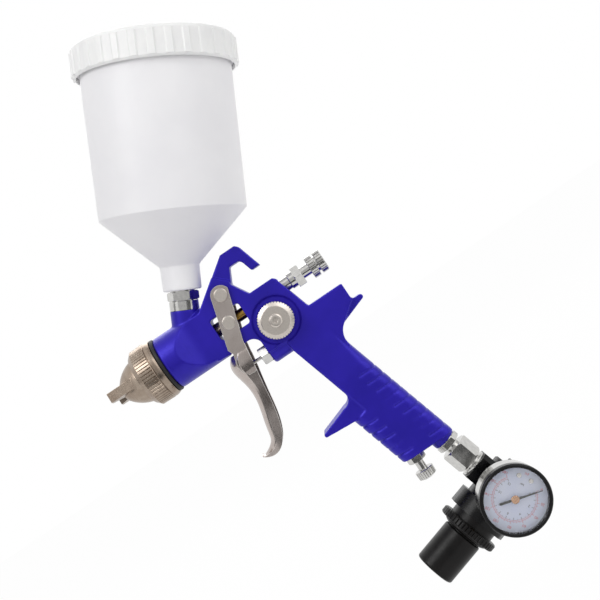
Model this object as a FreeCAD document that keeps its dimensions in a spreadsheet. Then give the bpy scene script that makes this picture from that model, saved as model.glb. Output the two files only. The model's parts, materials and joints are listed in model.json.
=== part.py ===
import FreeCAD, Part
import math
import os
import re

import Sketcher

# Gravity-feed HVLP spray gun with its cup, air regulator and pressure gauge.
#
# Frame: +Z up, the barrel level along X, spraying towards -X. The origin is the tip of the fluid
# nozzle, on the barrel axis. The XZ plane is the gun's middle plane. All lengths are millimetres.
#
# Each group has its own local frame, whose +Z is the group's axis:
#   cup group        origin where the cup axis meets the barrel axis, leaning back from vertical
#   inlet group      origin at the end face of the air inlet boss, +Z up the handle
#   regulator group  origin at the regulator's centre, below the inlet group and turned about its pipe

SIZES = {
    # Barrel, all along X from the nozzle tip
    "nose_front": 22.0,
    "nose_radius": 16.2,
    "shoulder_x": 34.0,
    "barrel_radius": 17.6,
    "barrel_back": 70.0,
    "scallop_front": 43.8,
    "scallop_knee": 50.5,
    "scallop_knee_half": 13.9,
    "scallop_back": 63.0,
    # Head casting
    "head_half": 9.5,
    "head_top": 7.8,
    "head_floor": -16.1,
    "head_rear_top_x": 119.5,
    "head_rear_low_x": 127.0,
    "saddle_x": 101.0,
    "window_front": 71.0,
    "window_back": 92.0,
    "window_top": 7.2,
    "window_low": -7.2,
    "window_corner": 1.6,
    # Hanging hook
    "hook_half": 6.5,
    "hook_foot_x": 68.5,
    "hook_foot_z": 15.3,
    "hook_rise_x": 99.0,
    "hook_top": 37.5,
    "hook_back_x": 111.5,
    "hook_corner": 2.0,
    "hook_tip_z": 19.0,
    "hook_tip_back": 116.3,
    "hook_tip_front": 110.2,
    "hook_roof": 28.2,
    "hook_roof_back": 106.6,
    "hook_roof_front": 99.8,
    "hook_throat_x": 94.8,
    "hook_throat_z": 18.5,
    # Rear block and beak
    "rear_top": -18.8,
    "rear_x": 151.5,
    "beak_half": 5.5,
    "beak_tip_x": 158.5,
    "beak_top": -30.6,
    "beak_tip_radius": 1.7,
    "beak_root_x": 139.5,
    "beak_root_z": -40.0,
    "web_mid_x": 135.4,
    "web_mid_z": -45.2,
    # Handle, in the inlet group's frame unless said otherwise
    "handle_lean": 16.2,
    "inlet_x": 150.9,
    "inlet_z": -136.2,
    "handle_rear": 8.0,
    "handle_depth": 25.3,
    "grip_depth": 35.0,
    "handle_half": 11.5,
    "handle_corner": 7.0,
    "handle_front_corner": 1.6,
    "handle_top_corner": 2.0,
    "handle_flat_length": 72.5,
    "web_foot_length": 84.0,
    "handle_front_length": 108.5,
    "handle_top_length": 100.0,
    "grip_top_length": 50.5,
    "grip_overrun": 14.0,
    "handle_base": -132.2,
    "inlet_boss_length": 16.0,
    "inlet_boss_radius": 7.7,
    "rest_half": 10.6,
    "rest_tip_x": 90.4,
    "rest_tip_z": -91.2,
    "rest_tip_radius": 1.4,
    "rest_top_z": -83.2,
    "rest_top_x": 112.0,
    "rest_low_z": -94.0,
    "rest_low_x": 111.5,
    # Grip ribs
    "rib_pitch": 6.75,
    "rib_gap": 1.3,
    "rib_depth": 0.9,
    "rear_rib_first": -73.1,
    "rear_rib_width": 13.0,
    "front_rib_first": -100.6,
    "front_rib_width": 11.5,
    # Fluid nozzle, air cap and its ring
    "nozzle_tip_radius": 1.7,
    "nozzle_bore": 0.7,
    "nozzle_body_radius": 4.6,
    "nozzle_thread_radius": 5.0,
    "nozzle_thread_end": 33.0,
    "nozzle_flange_radius": 8.0,
    "fluid_bore": 3.2,
    "baffle_front": 19.0,
    "baffle_radius": 15.9,
    "baffle_holes": 8,
    "cap_face": 1.0,
    "cap_face_radius": 5.4,
    "cap_edge_radius": 14.7,
    "cap_rim_radius": 15.9,
    "cap_rim_front": 16.7,
    "cap_wall": 2.2,
    "cap_gap": 0.5,
    "cap_angle": 10.0,
    "horn_tip": -6.2,
    "horn_outer": 13.2,
    "horn_inner": 9.2,
    "horn_root": 5.0,
    "horn_width": 6.4,
    "horn_hole": 0.8,
    "ring_front": 15.0,
    "ring_back": 31.3,
    "ring_radius": 19.5,
    "ring_lip": 15.0,
    "ring_flutes": 60,
    "ring_flute_depth": 0.5,
    "ring_flute_front": 18.0,
    "ring_flute_back": 26.8,
    "seal_radius": 18.3,
    # Needle and packing, on the barrel axis
    "needle_radius": 1.2,
    "needle_taper_x": 9.0,
    "needle_end": 113.0,
    "packing_bore": 4.0,
    "packing_front": 63.0,
    "packing_length": 3.0,
    "gland_head": 4.0,
    "gland_across": 9.0,
    "collar_radius": 3.7,
    "collar_back": 101.0,
    "collar_flange": 4.1,
    "collar_flange_length": 2.0,
    "spring_bore": 4.4,
    "spring_bore_front": 100.4,
    "slide_gap": 0.05,
    "touch_gap": 0.1,
    "needle_spring_radius": 3.1,
    "needle_spring_wire": 0.7,
    # Rear housing and fluid knob
    "housing_front": 107.5,
    "housing_back": 128.0,
    "housing_bore": 3.4,
    "housing_nut_front": 125.5,
    "housing_nut_radius": 5.3,
    "housing_hex_front": 129.5,
    "housing_hex_across": 13.0,
    "housing_nut_back": 134.7,
    "knob_shaft_radius": 3.8,
    "knob_shoulder": 131.5,
    "seat_front": 117.5,
    "seat_length": 1.5,
    "seat_bore": 1.6,
    "lock_ring_front": 140.4,
    "lock_ring_length": 4.6,
    "fluid_knob_front": 146.3,
    "fluid_knob_back": 151.0,
    "fluid_knob_radius": 7.4,
    "knob_flutes": 24,
    "knob_flute_depth": 0.5,
    # Trigger
    "pivot_x": 86.1,
    "pivot_z": 16.6,
    "leg_gap": 0.5,
    "leg_wall": 2.0,
    "leg_radius": 6.2,
    "leg_knee_z": -14.2,
    "leg_front_knee": 70.8,
    "leg_rear_knee": 82.0,
    "leg_notch_x": 72.3,
    "leg_notch_z": -17.9,
    "leg_low_z": -34.0,
    "leg_low_front": 69.8,
    "leg_low_rear": 78.9,
    "trigger_wall": 1.8,
    "web_top_z": -18.6,
    "web_top_front": 68.7,
    "web_top_rear": 81.0,
    "web_swell_z": -31.5,
    "web_swell_front": 65.4,
    "web_swell_rear": 79.3,
    "web_neck_z": -46.0,
    "web_neck_front": 67.4,
    "web_neck_rear": 76.7,
    "web_neck_half": 9.0,
    "finger_z": -61.0,
    "finger_front": 64.4,
    "finger_rear": 74.2,
    "finger_half": 7.4,
    "curl_x": 64.6,
    "curl_z": -75.6,
    "curl_tilt": 42.0,
    "curl_depth": 8.2,
    "curl_half": 6.8,
    "tip_x": 51.0,
    "tip_z": -80.2,
    "tip_tilt": 78.0,
    "tip_depth": 2.4,
    "tip_half": 4.6,
    "pin_radius": 2.6,
    "pin_head_radius": 4.4,
    "pin_head_length": 0.8,
    "cross_pin_x": 80.9,
    "cross_pin_radius": 4.2,
    "cross_slot_half": 3.4,
    "cross_slot_width": 3.2,
    # Air valve
    "valve_z": -29.3,
    "valve_boss_radius": 8.0,
    "valve_boss_front": 90.5,
    "valve_boss_back": 106.0,
    "valve_bore": 5.5,
    "valve_bore_end": 121.0,
    "gland_nut_front": 84.8,
    "gland_nut_across": 11.0,
    "gland_thread_back": 98.0,
    "stem_radius": 1.1,
    "valve_seat_front": 100.5,
    "valve_seat_back": 103.0,
    "valve_seat_bore": 2.8,
    "poppet_front": 103.1,
    "poppet_length": 3.0,
    "poppet_radius": 4.6,
    "valve_spring_radius": 4.2,
    "valve_spring_wire": 0.8,
    # Pattern valve, measured outwards from the middle plane towards -Y
    "pattern_x": 105.9,
    "pattern_z": -15.1,
    "pattern_bore": 6.0,
    "pattern_bore_depth": -6.0,
    "pattern_recess_radius": 15.2,
    "pattern_recess_depth": 0.7,
    "pattern_gland_flange": 7.4,
    "pattern_gland_out": 11.2,
    "pattern_stem_radius": 2.5,
    "pattern_knob_in": 14.0,
    "pattern_knob_out": 20.6,
    "pattern_knob_radius": 11.6,
    "pattern_cap_radius": 9.2,
    "pattern_cap_height": 1.3,
    "pattern_flutes": 40,
    "pattern_flute_depth": 1.1,
    "pattern_screw_radius": 4.2,
    "pattern_screw_height": 1.5,
    "oring_section": 1.4,
    # Air screw under the handle
    "air_screw_x": 129.6,
    "air_screw_bore": 4.5,
    "air_screw_bore_top": -112.0,
    "air_gland_length": 4.8,
    "air_gland_across": 10.8,
    "air_screw_shaft": 2.9,
    "air_knob_top": -143.2,
    "air_knob_low": -149.2,
    "air_knob_radius": 6.2,
    # Air inlet nipple and swivel nut, in the inlet group's frame
    "pipe_thread_radius": 6.58,
    "pipe_thread_length": 11.0,
    "pipe_bore": 4.0,
    "pipe_bore_length": 108.0,
    "nipple_hex_length": 3.6,
    "nipple_hex_across": 14.0,
    "nipple_neck_radius": 4.6,
    "nipple_cone_radius": 6.2,
    "nipple_end": -12.0,
    "swivel_top": -6.0,
    "swivel_low": -20.0,
    "swivel_across": 17.0,
    "swivel_lip": 1.8,
    "stub_collar_radius": 6.2,
    "stub_collar_length": 2.0,
    # Regulator, in its own frame
    "regulator_drop": 46.0,
    "regulator_turn": 1.0,
    "port_half": 23.0,
    "port_width": 18.8,
    "port_chamfer": 3.0,
    "inlet_thread_radius": 5.72,
    "port_thread_length": 12.0,
    "core_radius": 15.4,
    "core_back": 13.0,
    "flange_radius": 19.5,
    "flange_sides": 12,
    "flange_back": 14.3,
    "flange_front": 25.7,
    "chamber_radius": 12.8,
    "chamber_floor": 12.0,
    "valve_way": 3.6,
    "bonnet_thread_radius": 15.0,
    "bonnet_step": 36.6,
    "bonnet_tube_radius": 11.2,
    "bonnet_tube_end": 58.0,
    "bonnet_bore": 8.6,
    "bonnet_end_wall": 3.0,
    "panel_nut_front": 30.6,
    "panel_nut_length": 5.0,
    "panel_nut_radius": 19.5,
    "panel_nut_ribs": 48,
    "panel_rib_depth": 0.6,
    "regulator_knob_front": 38.2,
    "regulator_knob_end": 66.5,
    "regulator_knob_radius": 13.0,
    "regulator_knob_round": 1.6,
    "knob_clearance": 0.4,
    "adjust_radius": 2.9,
    "adjust_front": 34.0,
    "range_seat_front": 45.0,
    "range_seat_length": 3.0,
    "diaphragm_thickness": 1.2,
    "diaphragm_plate_radius": 7.0,
    "plug_radius": 8.5,
    "plug_thread_radius": 7.4,
    "plug_head_length": 4.0,
    "regulator_poppet_radius": 4.6,
    "regulator_poppet_length": 3.5,
    "range_spring_radius": 7.6,
    "range_spring_wire": 1.6,
    "poppet_spring_radius": 4.0,
    "poppet_spring_wire": 0.7,
    # Pressure gauge, measured outwards from the regulator's axis
    "gauge_boss_radius": 8.0,
    "gauge_boss_out": 17.4,
    "gauge_stem_radius": 4.8,
    "gauge_stem_across": 11.0,
    "gauge_back": 22.5,
    "gauge_front": 45.5,
    "gauge_radius": 21.0,
    "gauge_wall": 1.2,
    "bezel_radius": 21.6,
    "bezel_length": 6.0,
    "bezel_opening": 19.2,
    "lens_thickness": 1.6,
    "dial_out": 38.6,
    "dial_thickness": 0.6,
    "dial_radius": 19.6,
    "pointer_gap": 1.5,
    "pointer_thickness": 0.5,
    "pointer_length": 17.0,
    "pointer_tail": 9.5,
    "pointer_width": 1.5,
    "pointer_hub": 2.3,
    "pointer_zero": -32.2,
    "dial_screw_radius": 1.4,
    "dial_screw_circle": 14.2,
    "dial_screw_bearing": -2.0,
    "dial_screw_spread": 32.0,
    # Cup, along its own axis from the barrel axis
    "cup_x": 50.3,
    "cup_lean": 27.2,
    "boss_radius": 9.3,
    "boss_top": 24.7,
    "port_bore": 5.0,
    "adapter_thread_radius": 7.2,
    "adapter_thread_depth": 8.0,
    "collar_top": 30.7,
    "adapter_hex_across": 17.6,
    "adapter_hex_top": 36.4,
    "adapter_top_radius": 8.0,
    "adapter_top": 49.0,
    "cup_neck_low": 37.0,
    "cup_neck_radius": 12.1,
    "cup_neck_top": 52.4,
    "cup_shoulder": 84.7,
    "cup_low_radius": 46.2,
    "cup_rim_radius": 47.2,
    "cup_rim": 186.0,
    "cup_wall": 1.8,
    "cup_thread_height": 11.0,
    "cup_thread_stand": 1.6,
    "strainer_radius": 6.6,
    "strainer_height": 24.0,
    "strainer_wall": 0.8,
    "lid_low": 172.6,
    "lid_top": 191.6,
    "lid_radius": 52.0,
    "lid_wall": 2.2,
    "lid_corner": 2.6,
    "lid_ribs": 30,
    "lid_rib_height": 0.9,
    "lid_rib_width": 5.6,
    "lid_seal_thickness": 1.6,
    "vent_radius": 5.0,
    "vent_height": 3.4,
    "vent_bore": 2.0,
}

doc = FreeCAD.newDocument("hvlp_spray_gun")
sheet = doc.addObject("Spreadsheet::Sheet", "Sizes")
for line, (alias, figure) in enumerate(SIZES.items(), start=1):
    sheet.set(f"A{line}", alias)
    sheet.set(f"B{line}", str(figure))
    sheet.setAlias(f"B{line}", alias)
doc.recompute()

PARTS = []
SPRING_STEPS = 10


# ---------------------------------------------------------------- drawing and feature helpers

def bound(formula):
    """The formula with each size name pointing at its cell."""
    return re.sub(r"[A-Za-z_]\w*", lambda m: f"Sizes.{m[0]}" if m[0] in SIZES else m[0], formula)


def size(formula):
    """What a formula of sizes comes to now."""
    return float(sheet.evalExpression(bound(formula)))


def plane_of(body, role):
    return [f for f in body.Origin.OriginFeatures if f.Role == role][0]


def part(label, place=None):
    """A new sub-part, as a body with its own label and placement."""
    body = doc.addObject("PartDesign::Body", label)
    body.Label = label
    if place:
        body.Placement = place
    PARTS.append(body)
    return body


def draw(sketch, corners):
    """Closes one wire through the corners, each an (x, y) pair of size formulas. A corner with a
    third word, arc, is a point that the arc between its two neighbours passes through."""
    ends = [c for c in corners if len(c) == 2]
    first = sketch.GeometryCount
    count = len(ends)
    points = [FreeCAD.Vector(size(x), size(y), 0) for x, y in ends]
    mids = {}
    place = -1
    for corner in corners:
        if len(corner) == 2:
            place += 1
        else:
            mids[place] = corner
    for i in range(count):
        start, stop = points[i], points[(i + 1) % count]
        if i in mids:
            middle = FreeCAD.Vector(size(mids[i][0]), size(mids[i][1]), 0)
            clockwise = (middle - start).cross(stop - middle).z < 0
            ends_in_turn = (stop, middle, start) if clockwise else (start, middle, stop)
            sketch.addGeometry(Part.Arc(*ends_in_turn), False)
        else:
            sketch.addGeometry(Part.LineSegment(start, stop), False)
    fixed = []
    for i in range(count):
        here, after = first + i, first + (i + 1) % count
        arc_here, arc_after = i in mids, (i + 1) % count in mids
        stop_here = end_of(sketch, here, points[(i + 1) % count]) if arc_here else 2
        start_after = end_of(sketch, after, points[(i + 1) % count]) if arc_after else 1
        sketch.addConstraint(Sketcher.Constraint("Coincident", here, stop_here, after, start_after))
        fixed.append((here, 3 - stop_here, ends[i]))
    for geometry, end, corner in fixed:
        pin_down(sketch, geometry, end, corner)
    for i, corner in mids.items():
        middle = FreeCAD.Vector(size(corner[0]), size(corner[1]), 0)
        marker = sketch.addGeometry(Part.Point(middle), True)
        sketch.addConstraint(Sketcher.Constraint("PointOnObject", marker, 1, first + i))
        pin_down(sketch, marker, 1, corner[:2])


def end_of(sketch, geometry, point):
    """Which end of an arc, 1 or 2, lies at a point, as an arc keeps its own sense of turning."""
    curve = sketch.Geometry[geometry]
    return 1 if curve.StartPoint.distanceToPoint(point) < curve.EndPoint.distanceToPoint(point) else 2


def pin_down(sketch, geometry, end, corner):
    """Fixes one point of a sketch at a pair of size formulas."""
    for kind, axis, formula in (("DistanceX", -2, corner[0]), ("DistanceY", -1, corner[1])):
        if formula == "0":
            sketch.addConstraint(Sketcher.Constraint("PointOnObject", geometry, end, axis))
            continue
        number = sketch.addConstraint(
            Sketcher.Constraint(kind, -1, 1, geometry, end, size(formula))
        )
        name = f"{kind[-1].lower()}{number}"
        sketch.renameConstraint(number, name)
        sketch.setExpression(f"Constraints.{name}", bound(formula))


def draw_circle(sketch, x, y, radius):
    centre = FreeCAD.Vector(size(x), size(y), 0)
    circle = sketch.addGeometry(Part.Circle(centre, FreeCAD.Vector(0, 0, 1), size(radius)), False)
    pin_down(sketch, circle, 3, (x, y))
    number = sketch.addConstraint(Sketcher.Constraint("Radius", circle, size(radius)))
    sketch.renameConstraint(number, f"r{number}")
    sketch.setExpression(f"Constraints.r{number}", bound(radius))


def sketch_on(body, role, lift="0", place=None):
    """A sketch on one of the body's own planes, lifted along its normal or moved by a placement."""
    sketch = body.newObject("Sketcher::SketchObject", "Sketch")
    sketch.AttachmentSupport = [(plane_of(body, role), "")]
    sketch.MapMode = "FlatFace"
    if place:
        sketch.AttachmentOffset = place
    elif lift != "0":
        sketch.AttachmentOffset = FreeCAD.Placement(FreeCAD.Vector(0, 0, size(lift)), FreeCAD.Rotation())
        sketch.setExpression("AttachmentOffset.Base.z", bound(lift))
    return sketch


def finish_feature(body, feature, cuts):
    """Makes the feature the body's tip and stops if it added or cut nothing."""
    before = body.Shape.Volume if body.Shape and not body.Shape.isNull() else 0.0
    body.Tip = feature
    doc.recompute()
    change = body.Shape.Volume - before
    if feature.State and ("Invalid" in feature.State or "Error" in feature.State):
        raise RuntimeError(f"{body.Label}: {feature.Name} failed")
    if (change > -1e-6) if cuts else (change < 1e-6):
        raise RuntimeError(f"{body.Label}: {feature.Name} changed the volume by {change:.4f}")
    return feature


def turn(body, axis, corners, cuts=False, place=None):
    """Revolves a profile of (along, radius) corners about an axis of the body. Along is X, Z, or
    for axis Y the distance outwards from the middle plane towards -Y."""
    if axis == "X":
        sketch = sketch_on(body, "XZ_Plane", place=place)
        draw(sketch, corners)
    elif axis == "Z":
        sketch = sketch_on(body, "XZ_Plane", place=place)
        draw(sketch, [(c[1], c[0], *c[2:]) for c in corners])
    else:
        sketch = sketch_on(body, "XY_Plane", place=place)
        draw(sketch, [(c[1], minus(c[0]), *c[2:]) for c in corners])
    kind = "PartDesign::Groove" if cuts else "PartDesign::Revolution"
    feature = body.newObject(kind, "Groove" if cuts else "Revolution")
    feature.Profile = sketch
    feature.ReferenceAxis = (sketch, ["H_Axis" if axis == "X" else "V_Axis"])
    feature.Angle = 360.0
    return finish_feature(body, feature, cuts)


def minus(formula):
    return "0" if formula == "0" else f"-({formula})"


def turned(label, axis, corners, place=None):
    """A sub-part that is one turned piece."""
    body = part(label, place)
    turn(body, axis, corners)
    return body


CROSS_PLANES = {"X": "YZ_Plane", "Y": "XZ_Plane", "Z": "XY_Plane"}


def prism(body, sketch, length, cuts=False, both=False, reverse=False):
    """Pads or pockets a sketch by a length formula, along its normal unless reversed."""
    feature = body.newObject("PartDesign::Pocket" if cuts else "PartDesign::Pad", "Prism")
    feature.Profile = sketch
    feature.setExpression("Length", bound(length))
    if both:
        feature.SideType = "Symmetric"
    else:
        feature.Reversed = cuts != reverse
    return finish_feature(body, feature, cuts)


def around(body, sketch, feature, count, cuts=True):
    """Repeats a feature round the sketch's own normal."""
    pattern = body.newObject("PartDesign::PolarPattern", "Pattern")
    pattern.Originals = [feature]
    pattern.Axis = (sketch, ["N_Axis"])
    pattern.Angle = 360.0
    pattern.setExpression("Occurrences", bound(count))
    return finish_feature(body, pattern, cuts)


def cut_flats(body, axis, across, start, stop, count="6"):
    """Cuts the flats of a nut between two places along its axis."""
    sketch = sketch_on(body, CROSS_PLANES[axis], start)
    near, far = f"({across}) / 2", f"({across}) * 0.8"
    draw(sketch, [(near_far, height) for near_far, height in (
        (f"-({across})", near), (across, near), (across, far), (f"-({across})", far))])
    flat = prism(body, sketch, f"({stop}) - ({start})", cuts=True)
    around(body, sketch, flat, count)


def cut_flutes(body, axis, radius, depth, start, stop, count):
    """Cuts V flutes round a rim, a little narrower than their spacing."""
    sketch = sketch_on(body, CROSS_PLANES[axis], start)
    half = f"({radius}) * 3 / ({count}) * 0.42 * 2"
    outer = f"({radius}) + ({depth})"
    draw(sketch, [("0", f"({radius}) - ({depth})"), (half, outer), (f"-({half})", outer)])
    flute = prism(body, sketch, f"({stop}) - ({start})", cuts=True)
    around(body, sketch, flute, count)


def ring(label, axis, start, stop, inner, outer, place=None):
    return turned(label, axis, [(start, inner), (stop, inner), (stop, outer), (start, outer)], place)


def rod(label, axis, start, stop, radius, place=None):
    return turned(label, axis, [(start, "0"), (stop, "0"), (stop, radius), (start, radius)], place)


def hole(body, axis, start, stop, radius, place=None):
    corners = [(start, "0"), (stop, "0"), (stop, radius), (start, radius)]
    return turn(body, axis, corners, cuts=True, place=place)


def spring(label, axis, start, stop, radius, wire, turns, place=None):
    """A compression spring of round turns in short straight lengths, between two places along X,
    or backwards along X. The radius is the spring's own outside and all three are size names."""
    first, last = size(start), size(stop)
    coil, thick = size(radius) - size(wire) / 2, size(wire)
    rise = (last - first - thick) / (turns * SPRING_STEPS)
    path = [
        FreeCAD.Vector(
            first + thick / 2 + rise * step,
            coil * math.cos(2 * math.pi * step / SPRING_STEPS),
            coil * math.sin(2 * math.pi * step / SPRING_STEPS))
        for step in range(turns * SPRING_STEPS + 1)
    ]
    centre, ahead = path[0], (path[1] - path[0]).normalize()
    out = FreeCAD.Vector(0, path[0].y, path[0].z).normalize()
    across = ahead.cross(out)
    corners = [
        centre + (out * math.cos(math.radians(60 * i)) + across * math.sin(math.radians(60 * i))) * (thick / 2)
        for i in range(7)
    ]
    section = Part.makePolygon(corners)
    coils = Part.makePolygon(path).makePipeShell([section], True, False, 1)
    feature = doc.addObject("Part::Feature", label)
    feature.Label = label
    feature.Shape = coils
    if place:
        feature.Placement = place
    PARTS.append(feature)
    return feature


def vector(x, y, z):
    return FreeCAD.Vector(size(x), size(y), size(z))


def turned_about(axis, degrees):
    return FreeCAD.Rotation(FreeCAD.Vector(*axis), degrees)


# ---------------------------------------------------------------- group frames

CUP = FreeCAD.Placement(vector("cup_x", "0", "0"), turned_about((0, 1, 0), size("cup_lean")))
INLET = FreeCAD.Placement(
    vector("inlet_x", "0", "inlet_z"), turned_about((0, 1, 0), -size("handle_lean")))
REGULATOR = INLET * FreeCAD.Placement(
    vector("0", "0", "-regulator_drop"), turned_about((0, 0, 1), size("regulator_turn")))
VALVE = FreeCAD.Placement(vector("0", "0", "valve_z"), FreeCAD.Rotation())
PATTERN = FreeCAD.Placement(vector("pattern_x", "0", "pattern_z"), FreeCAD.Rotation())
AIR_SCREW = FreeCAD.Placement(vector("air_screw_x", "0", "0"), FreeCAD.Rotation())
PIVOT = FreeCAD.Placement(vector("pivot_x", "0", "pivot_z"), FreeCAD.Rotation())


# ---------------------------------------------------------------- gun body casting

def rounded_section(rear, depth, half, corner, front_corner):
    """Corners of a handle section: x rearwards, y across."""
    front = f"({rear}) - ({depth})"
    bend = f"({corner}) * (1 - cos(45))"
    nip = f"({front_corner}) * (1 - cos(45))"
    return [
        (f"({rear}) - ({corner})", f"-({half})"),
        (f"({rear}) - ({bend})", f"-({half}) + ({bend})", "arc"),
        (rear, f"-({half}) + ({corner})"),
        (rear, f"({half}) - ({corner})"),
        (f"({rear}) - ({bend})", f"({half}) - ({bend})", "arc"),
        (f"({rear}) - ({corner})", half),
        (f"({front}) + ({front_corner})", half),
        (f"({front}) + ({nip})", f"({half}) - ({nip})", "arc"),
        (front, f"({half}) - ({front_corner})"),
        (front, f"-({half}) + ({front_corner})"),
        (f"({front}) + ({nip})", f"-({half}) + ({nip})", "arc"),
        (f"({front}) + ({front_corner})", f"-({half})"),
    ]


def plate(body, corners, half, cuts=False):
    """A plate of the casting, symmetric about the middle plane."""
    sketch = sketch_on(body, "XZ_Plane")
    draw(sketch, corners)
    return prism(body, sketch, f"2 * ({half})", cuts=cuts, both=True)


def loft(body, sketches, cuts=False):
    feature = body.newObject(
        "PartDesign::SubtractiveLoft" if cuts else "PartDesign::AdditiveLoft", "Loft")
    feature.Profile = sketches[0]
    feature.Sections = sketches[1:]
    feature.Ruled = False
    return finish_feature(body, feature, cuts)


def inlet_level(height):
    """The inlet group's frame at a height up the handle, as a sketch's place on the XY plane."""
    return INLET * FreeCAD.Placement(FreeCAD.Vector(0, 0, size(height)), FreeCAD.Rotation())


def build_gun_body():
    body = part("gun_body")
    turn(body, "X", [
        ("nose_front", "0"), ("barrel_back", "0"), ("barrel_back", "barrel_radius"),
        ("shoulder_x + 0.8", "barrel_radius"), ("shoulder_x", "barrel_radius - 0.8"),
        ("shoulder_x", "nose_radius"), ("nose_front", "nose_radius"),
    ])
    cut_scallops(body)
    plate(body, HEAD_OUTLINE, "head_half")
    plate(body, HOOK_OUTLINE, "hook_half")
    plate(body, BEAK_OUTLINE, "beak_half")
    section = add_handle(body)
    plate(body, REST_OUTLINE, "rest_half")
    turn(body, "Z", [
        ("0", "0"), ("boss_top", "0"), ("boss_top", "boss_radius"), ("0", "boss_radius"),
    ], place=sketch_place(CUP))
    turn(body, "X", [
        ("valve_boss_front", "0"), ("valve_boss_back", "0"),
        ("valve_boss_back", "valve_boss_radius"), ("valve_boss_front + 1", "valve_boss_radius"),
        ("valve_boss_front", "valve_boss_radius - 1"),
    ], place=sketch_place(VALVE))
    cut_ribs(body, section, rear=True)
    cut_ribs(body, section, rear=False)
    cut_window(body)
    cut_bores(body)
    return body


def sketch_place(frame):
    """A group frame, as the place of a sketch on the XZ plane within that plane's own axes."""
    turn_angle = frame.Rotation.toEulerAngles("XYZ")[1]
    base = frame.Base
    return FreeCAD.Placement(
        FreeCAD.Vector(base.x, base.z, -base.y), turned_about((0, 0, 1), -turn_angle))


def on_handle(across, height):
    """A point of the handle, given in the inlet group's frame, as x and z of the head's sketch."""
    return (f"inlet_x + ({across}) * cos(handle_lean) - {height} * sin(handle_lean)",
            f"inlet_z + ({across}) * sin(handle_lean) + {height} * cos(handle_lean)")


HEAD_OUTLINE = [
    ("barrel_back - 8", "window_low"),
    ("hook_foot_x - 6", "window_top"),
    ("hook_foot_x", "hook_foot_z"),
    ("hook_foot_x + 2", "hook_foot_z + 2 * (hook_top - hook_foot_z) / (hook_rise_x - hook_foot_x)"),
    ("pivot_x + 1", "hook_foot_z + (pivot_x + 1 - hook_foot_x) * (hook_top - hook_foot_z)"
     " / (hook_rise_x - hook_foot_x)"),
    ("hook_throat_x", "hook_throat_z + 3"),
    ("hook_throat_x", "hook_throat_z"),
    ("saddle_x", "head_top"),
    ("head_rear_top_x - 1.5", "head_top"),
    ("head_rear_top_x", "head_top - 1.5"),
    ("head_rear_low_x", "rear_top"),
    ("rear_x", "rear_top"),
    ("rear_x", "beak_top"),
    ("beak_root_x", "beak_root_z"),
    ("web_mid_x", "web_mid_z", "arc"),
    on_handle("handle_rear", "web_foot_length"),
    on_handle("handle_rear - handle_depth", "web_foot_length"),
    on_handle("handle_rear - handle_depth", "handle_front_length"),
    ("pattern_x - 2", "valve_z"),
    ("valve_boss_front", "valve_z"),
    ("valve_boss_front", "head_floor - 5"),
    ("valve_boss_front - 1.8", "head_floor - 1.8", "arc"),
    ("valve_boss_front - 6", "head_floor"),
    ("barrel_back + 8", "head_floor"),
    ("barrel_back", "-barrel_radius + 0.6"),
    ("barrel_back - 8", "-barrel_radius + 1.2"),
]

HOOK_OUTLINE = [
    ("hook_foot_x + 6", "hook_foot_z + 6 * (hook_top - hook_foot_z) / (hook_rise_x - hook_foot_x)"),
    ("hook_rise_x", "hook_top"),
    ("hook_back_x - hook_corner", "hook_top"),
    ("hook_back_x", "hook_top - hook_corner"),
    ("hook_tip_back", "hook_tip_z"),
    ("hook_tip_front", "hook_tip_z"),
    ("hook_roof_back + 1.6", "hook_roof - 2.2"),
    ("hook_roof_back", "hook_roof"),
    ("hook_roof_front", "hook_roof"),
    ("hook_throat_x", "hook_throat_z"),
    ("saddle_x", "head_top"),
    ("saddle_x", "window_top"),
    ("hook_foot_x + 6", "window_top"),
]

BEAK_OUTLINE = [
    ("rear_x - 8", "beak_top + 4"),
    ("rear_x", "beak_top + 2"),
    ("rear_x + 1", "beak_top"),
    ("beak_tip_x - beak_tip_radius", "beak_top"),
    ("beak_tip_x", "beak_top - beak_tip_radius", "arc"),
    ("beak_tip_x - beak_tip_radius", "beak_top - 2 * beak_tip_radius"),
    ("beak_root_x", "beak_root_z"),
    ("beak_root_x - 4", "beak_root_z + 8"),
]

REST_OUTLINE = [
    ("rest_tip_x + rest_tip_radius", "rest_tip_z + rest_tip_radius"),
    ("rest_top_x - 2", "rest_top_z - 0.4"),
    ("rest_top_x + 2.6", "rest_top_z + 2.2", "arc"),
    ("rest_top_x + 3.6", "rest_top_z + 6.4"),
    ("rest_top_x + 10", "rest_top_z"),
    ("rest_low_x + 6", "rest_low_z - 3"),
    ("rest_low_x", "rest_low_z"),
    ("rest_tip_x + rest_tip_radius", "rest_tip_z - rest_tip_radius"),
    ("rest_tip_x", "rest_tip_z", "arc"),
]


def cut_scallops(body):
    """Draws each side of the barrel in from its full round to the head's flat sides."""
    outer = "barrel_radius + 3"
    for side in ("", "-1 * "):
        sketch = sketch_on(body, "XY_Plane")
        draw(sketch, [
            ("scallop_front", f"{side}(barrel_radius + 0.2)"),
            ("scallop_knee", f"{side}scallop_knee_half"),
            ("(scallop_knee + scallop_back) / 2 - 1", f"{side}((scallop_knee_half + head_half) / 2 - 1)",
             "arc"),
            ("scallop_back", f"{side}head_half"),
            ("barrel_back + 1", f"{side}head_half"),
            ("barrel_back + 1", f"{side}({outer})"),
            ("scallop_front", f"{side}({outer})"),
        ])
        prism(body, sketch, "3 * barrel_radius", cuts=True, both=True)


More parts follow.
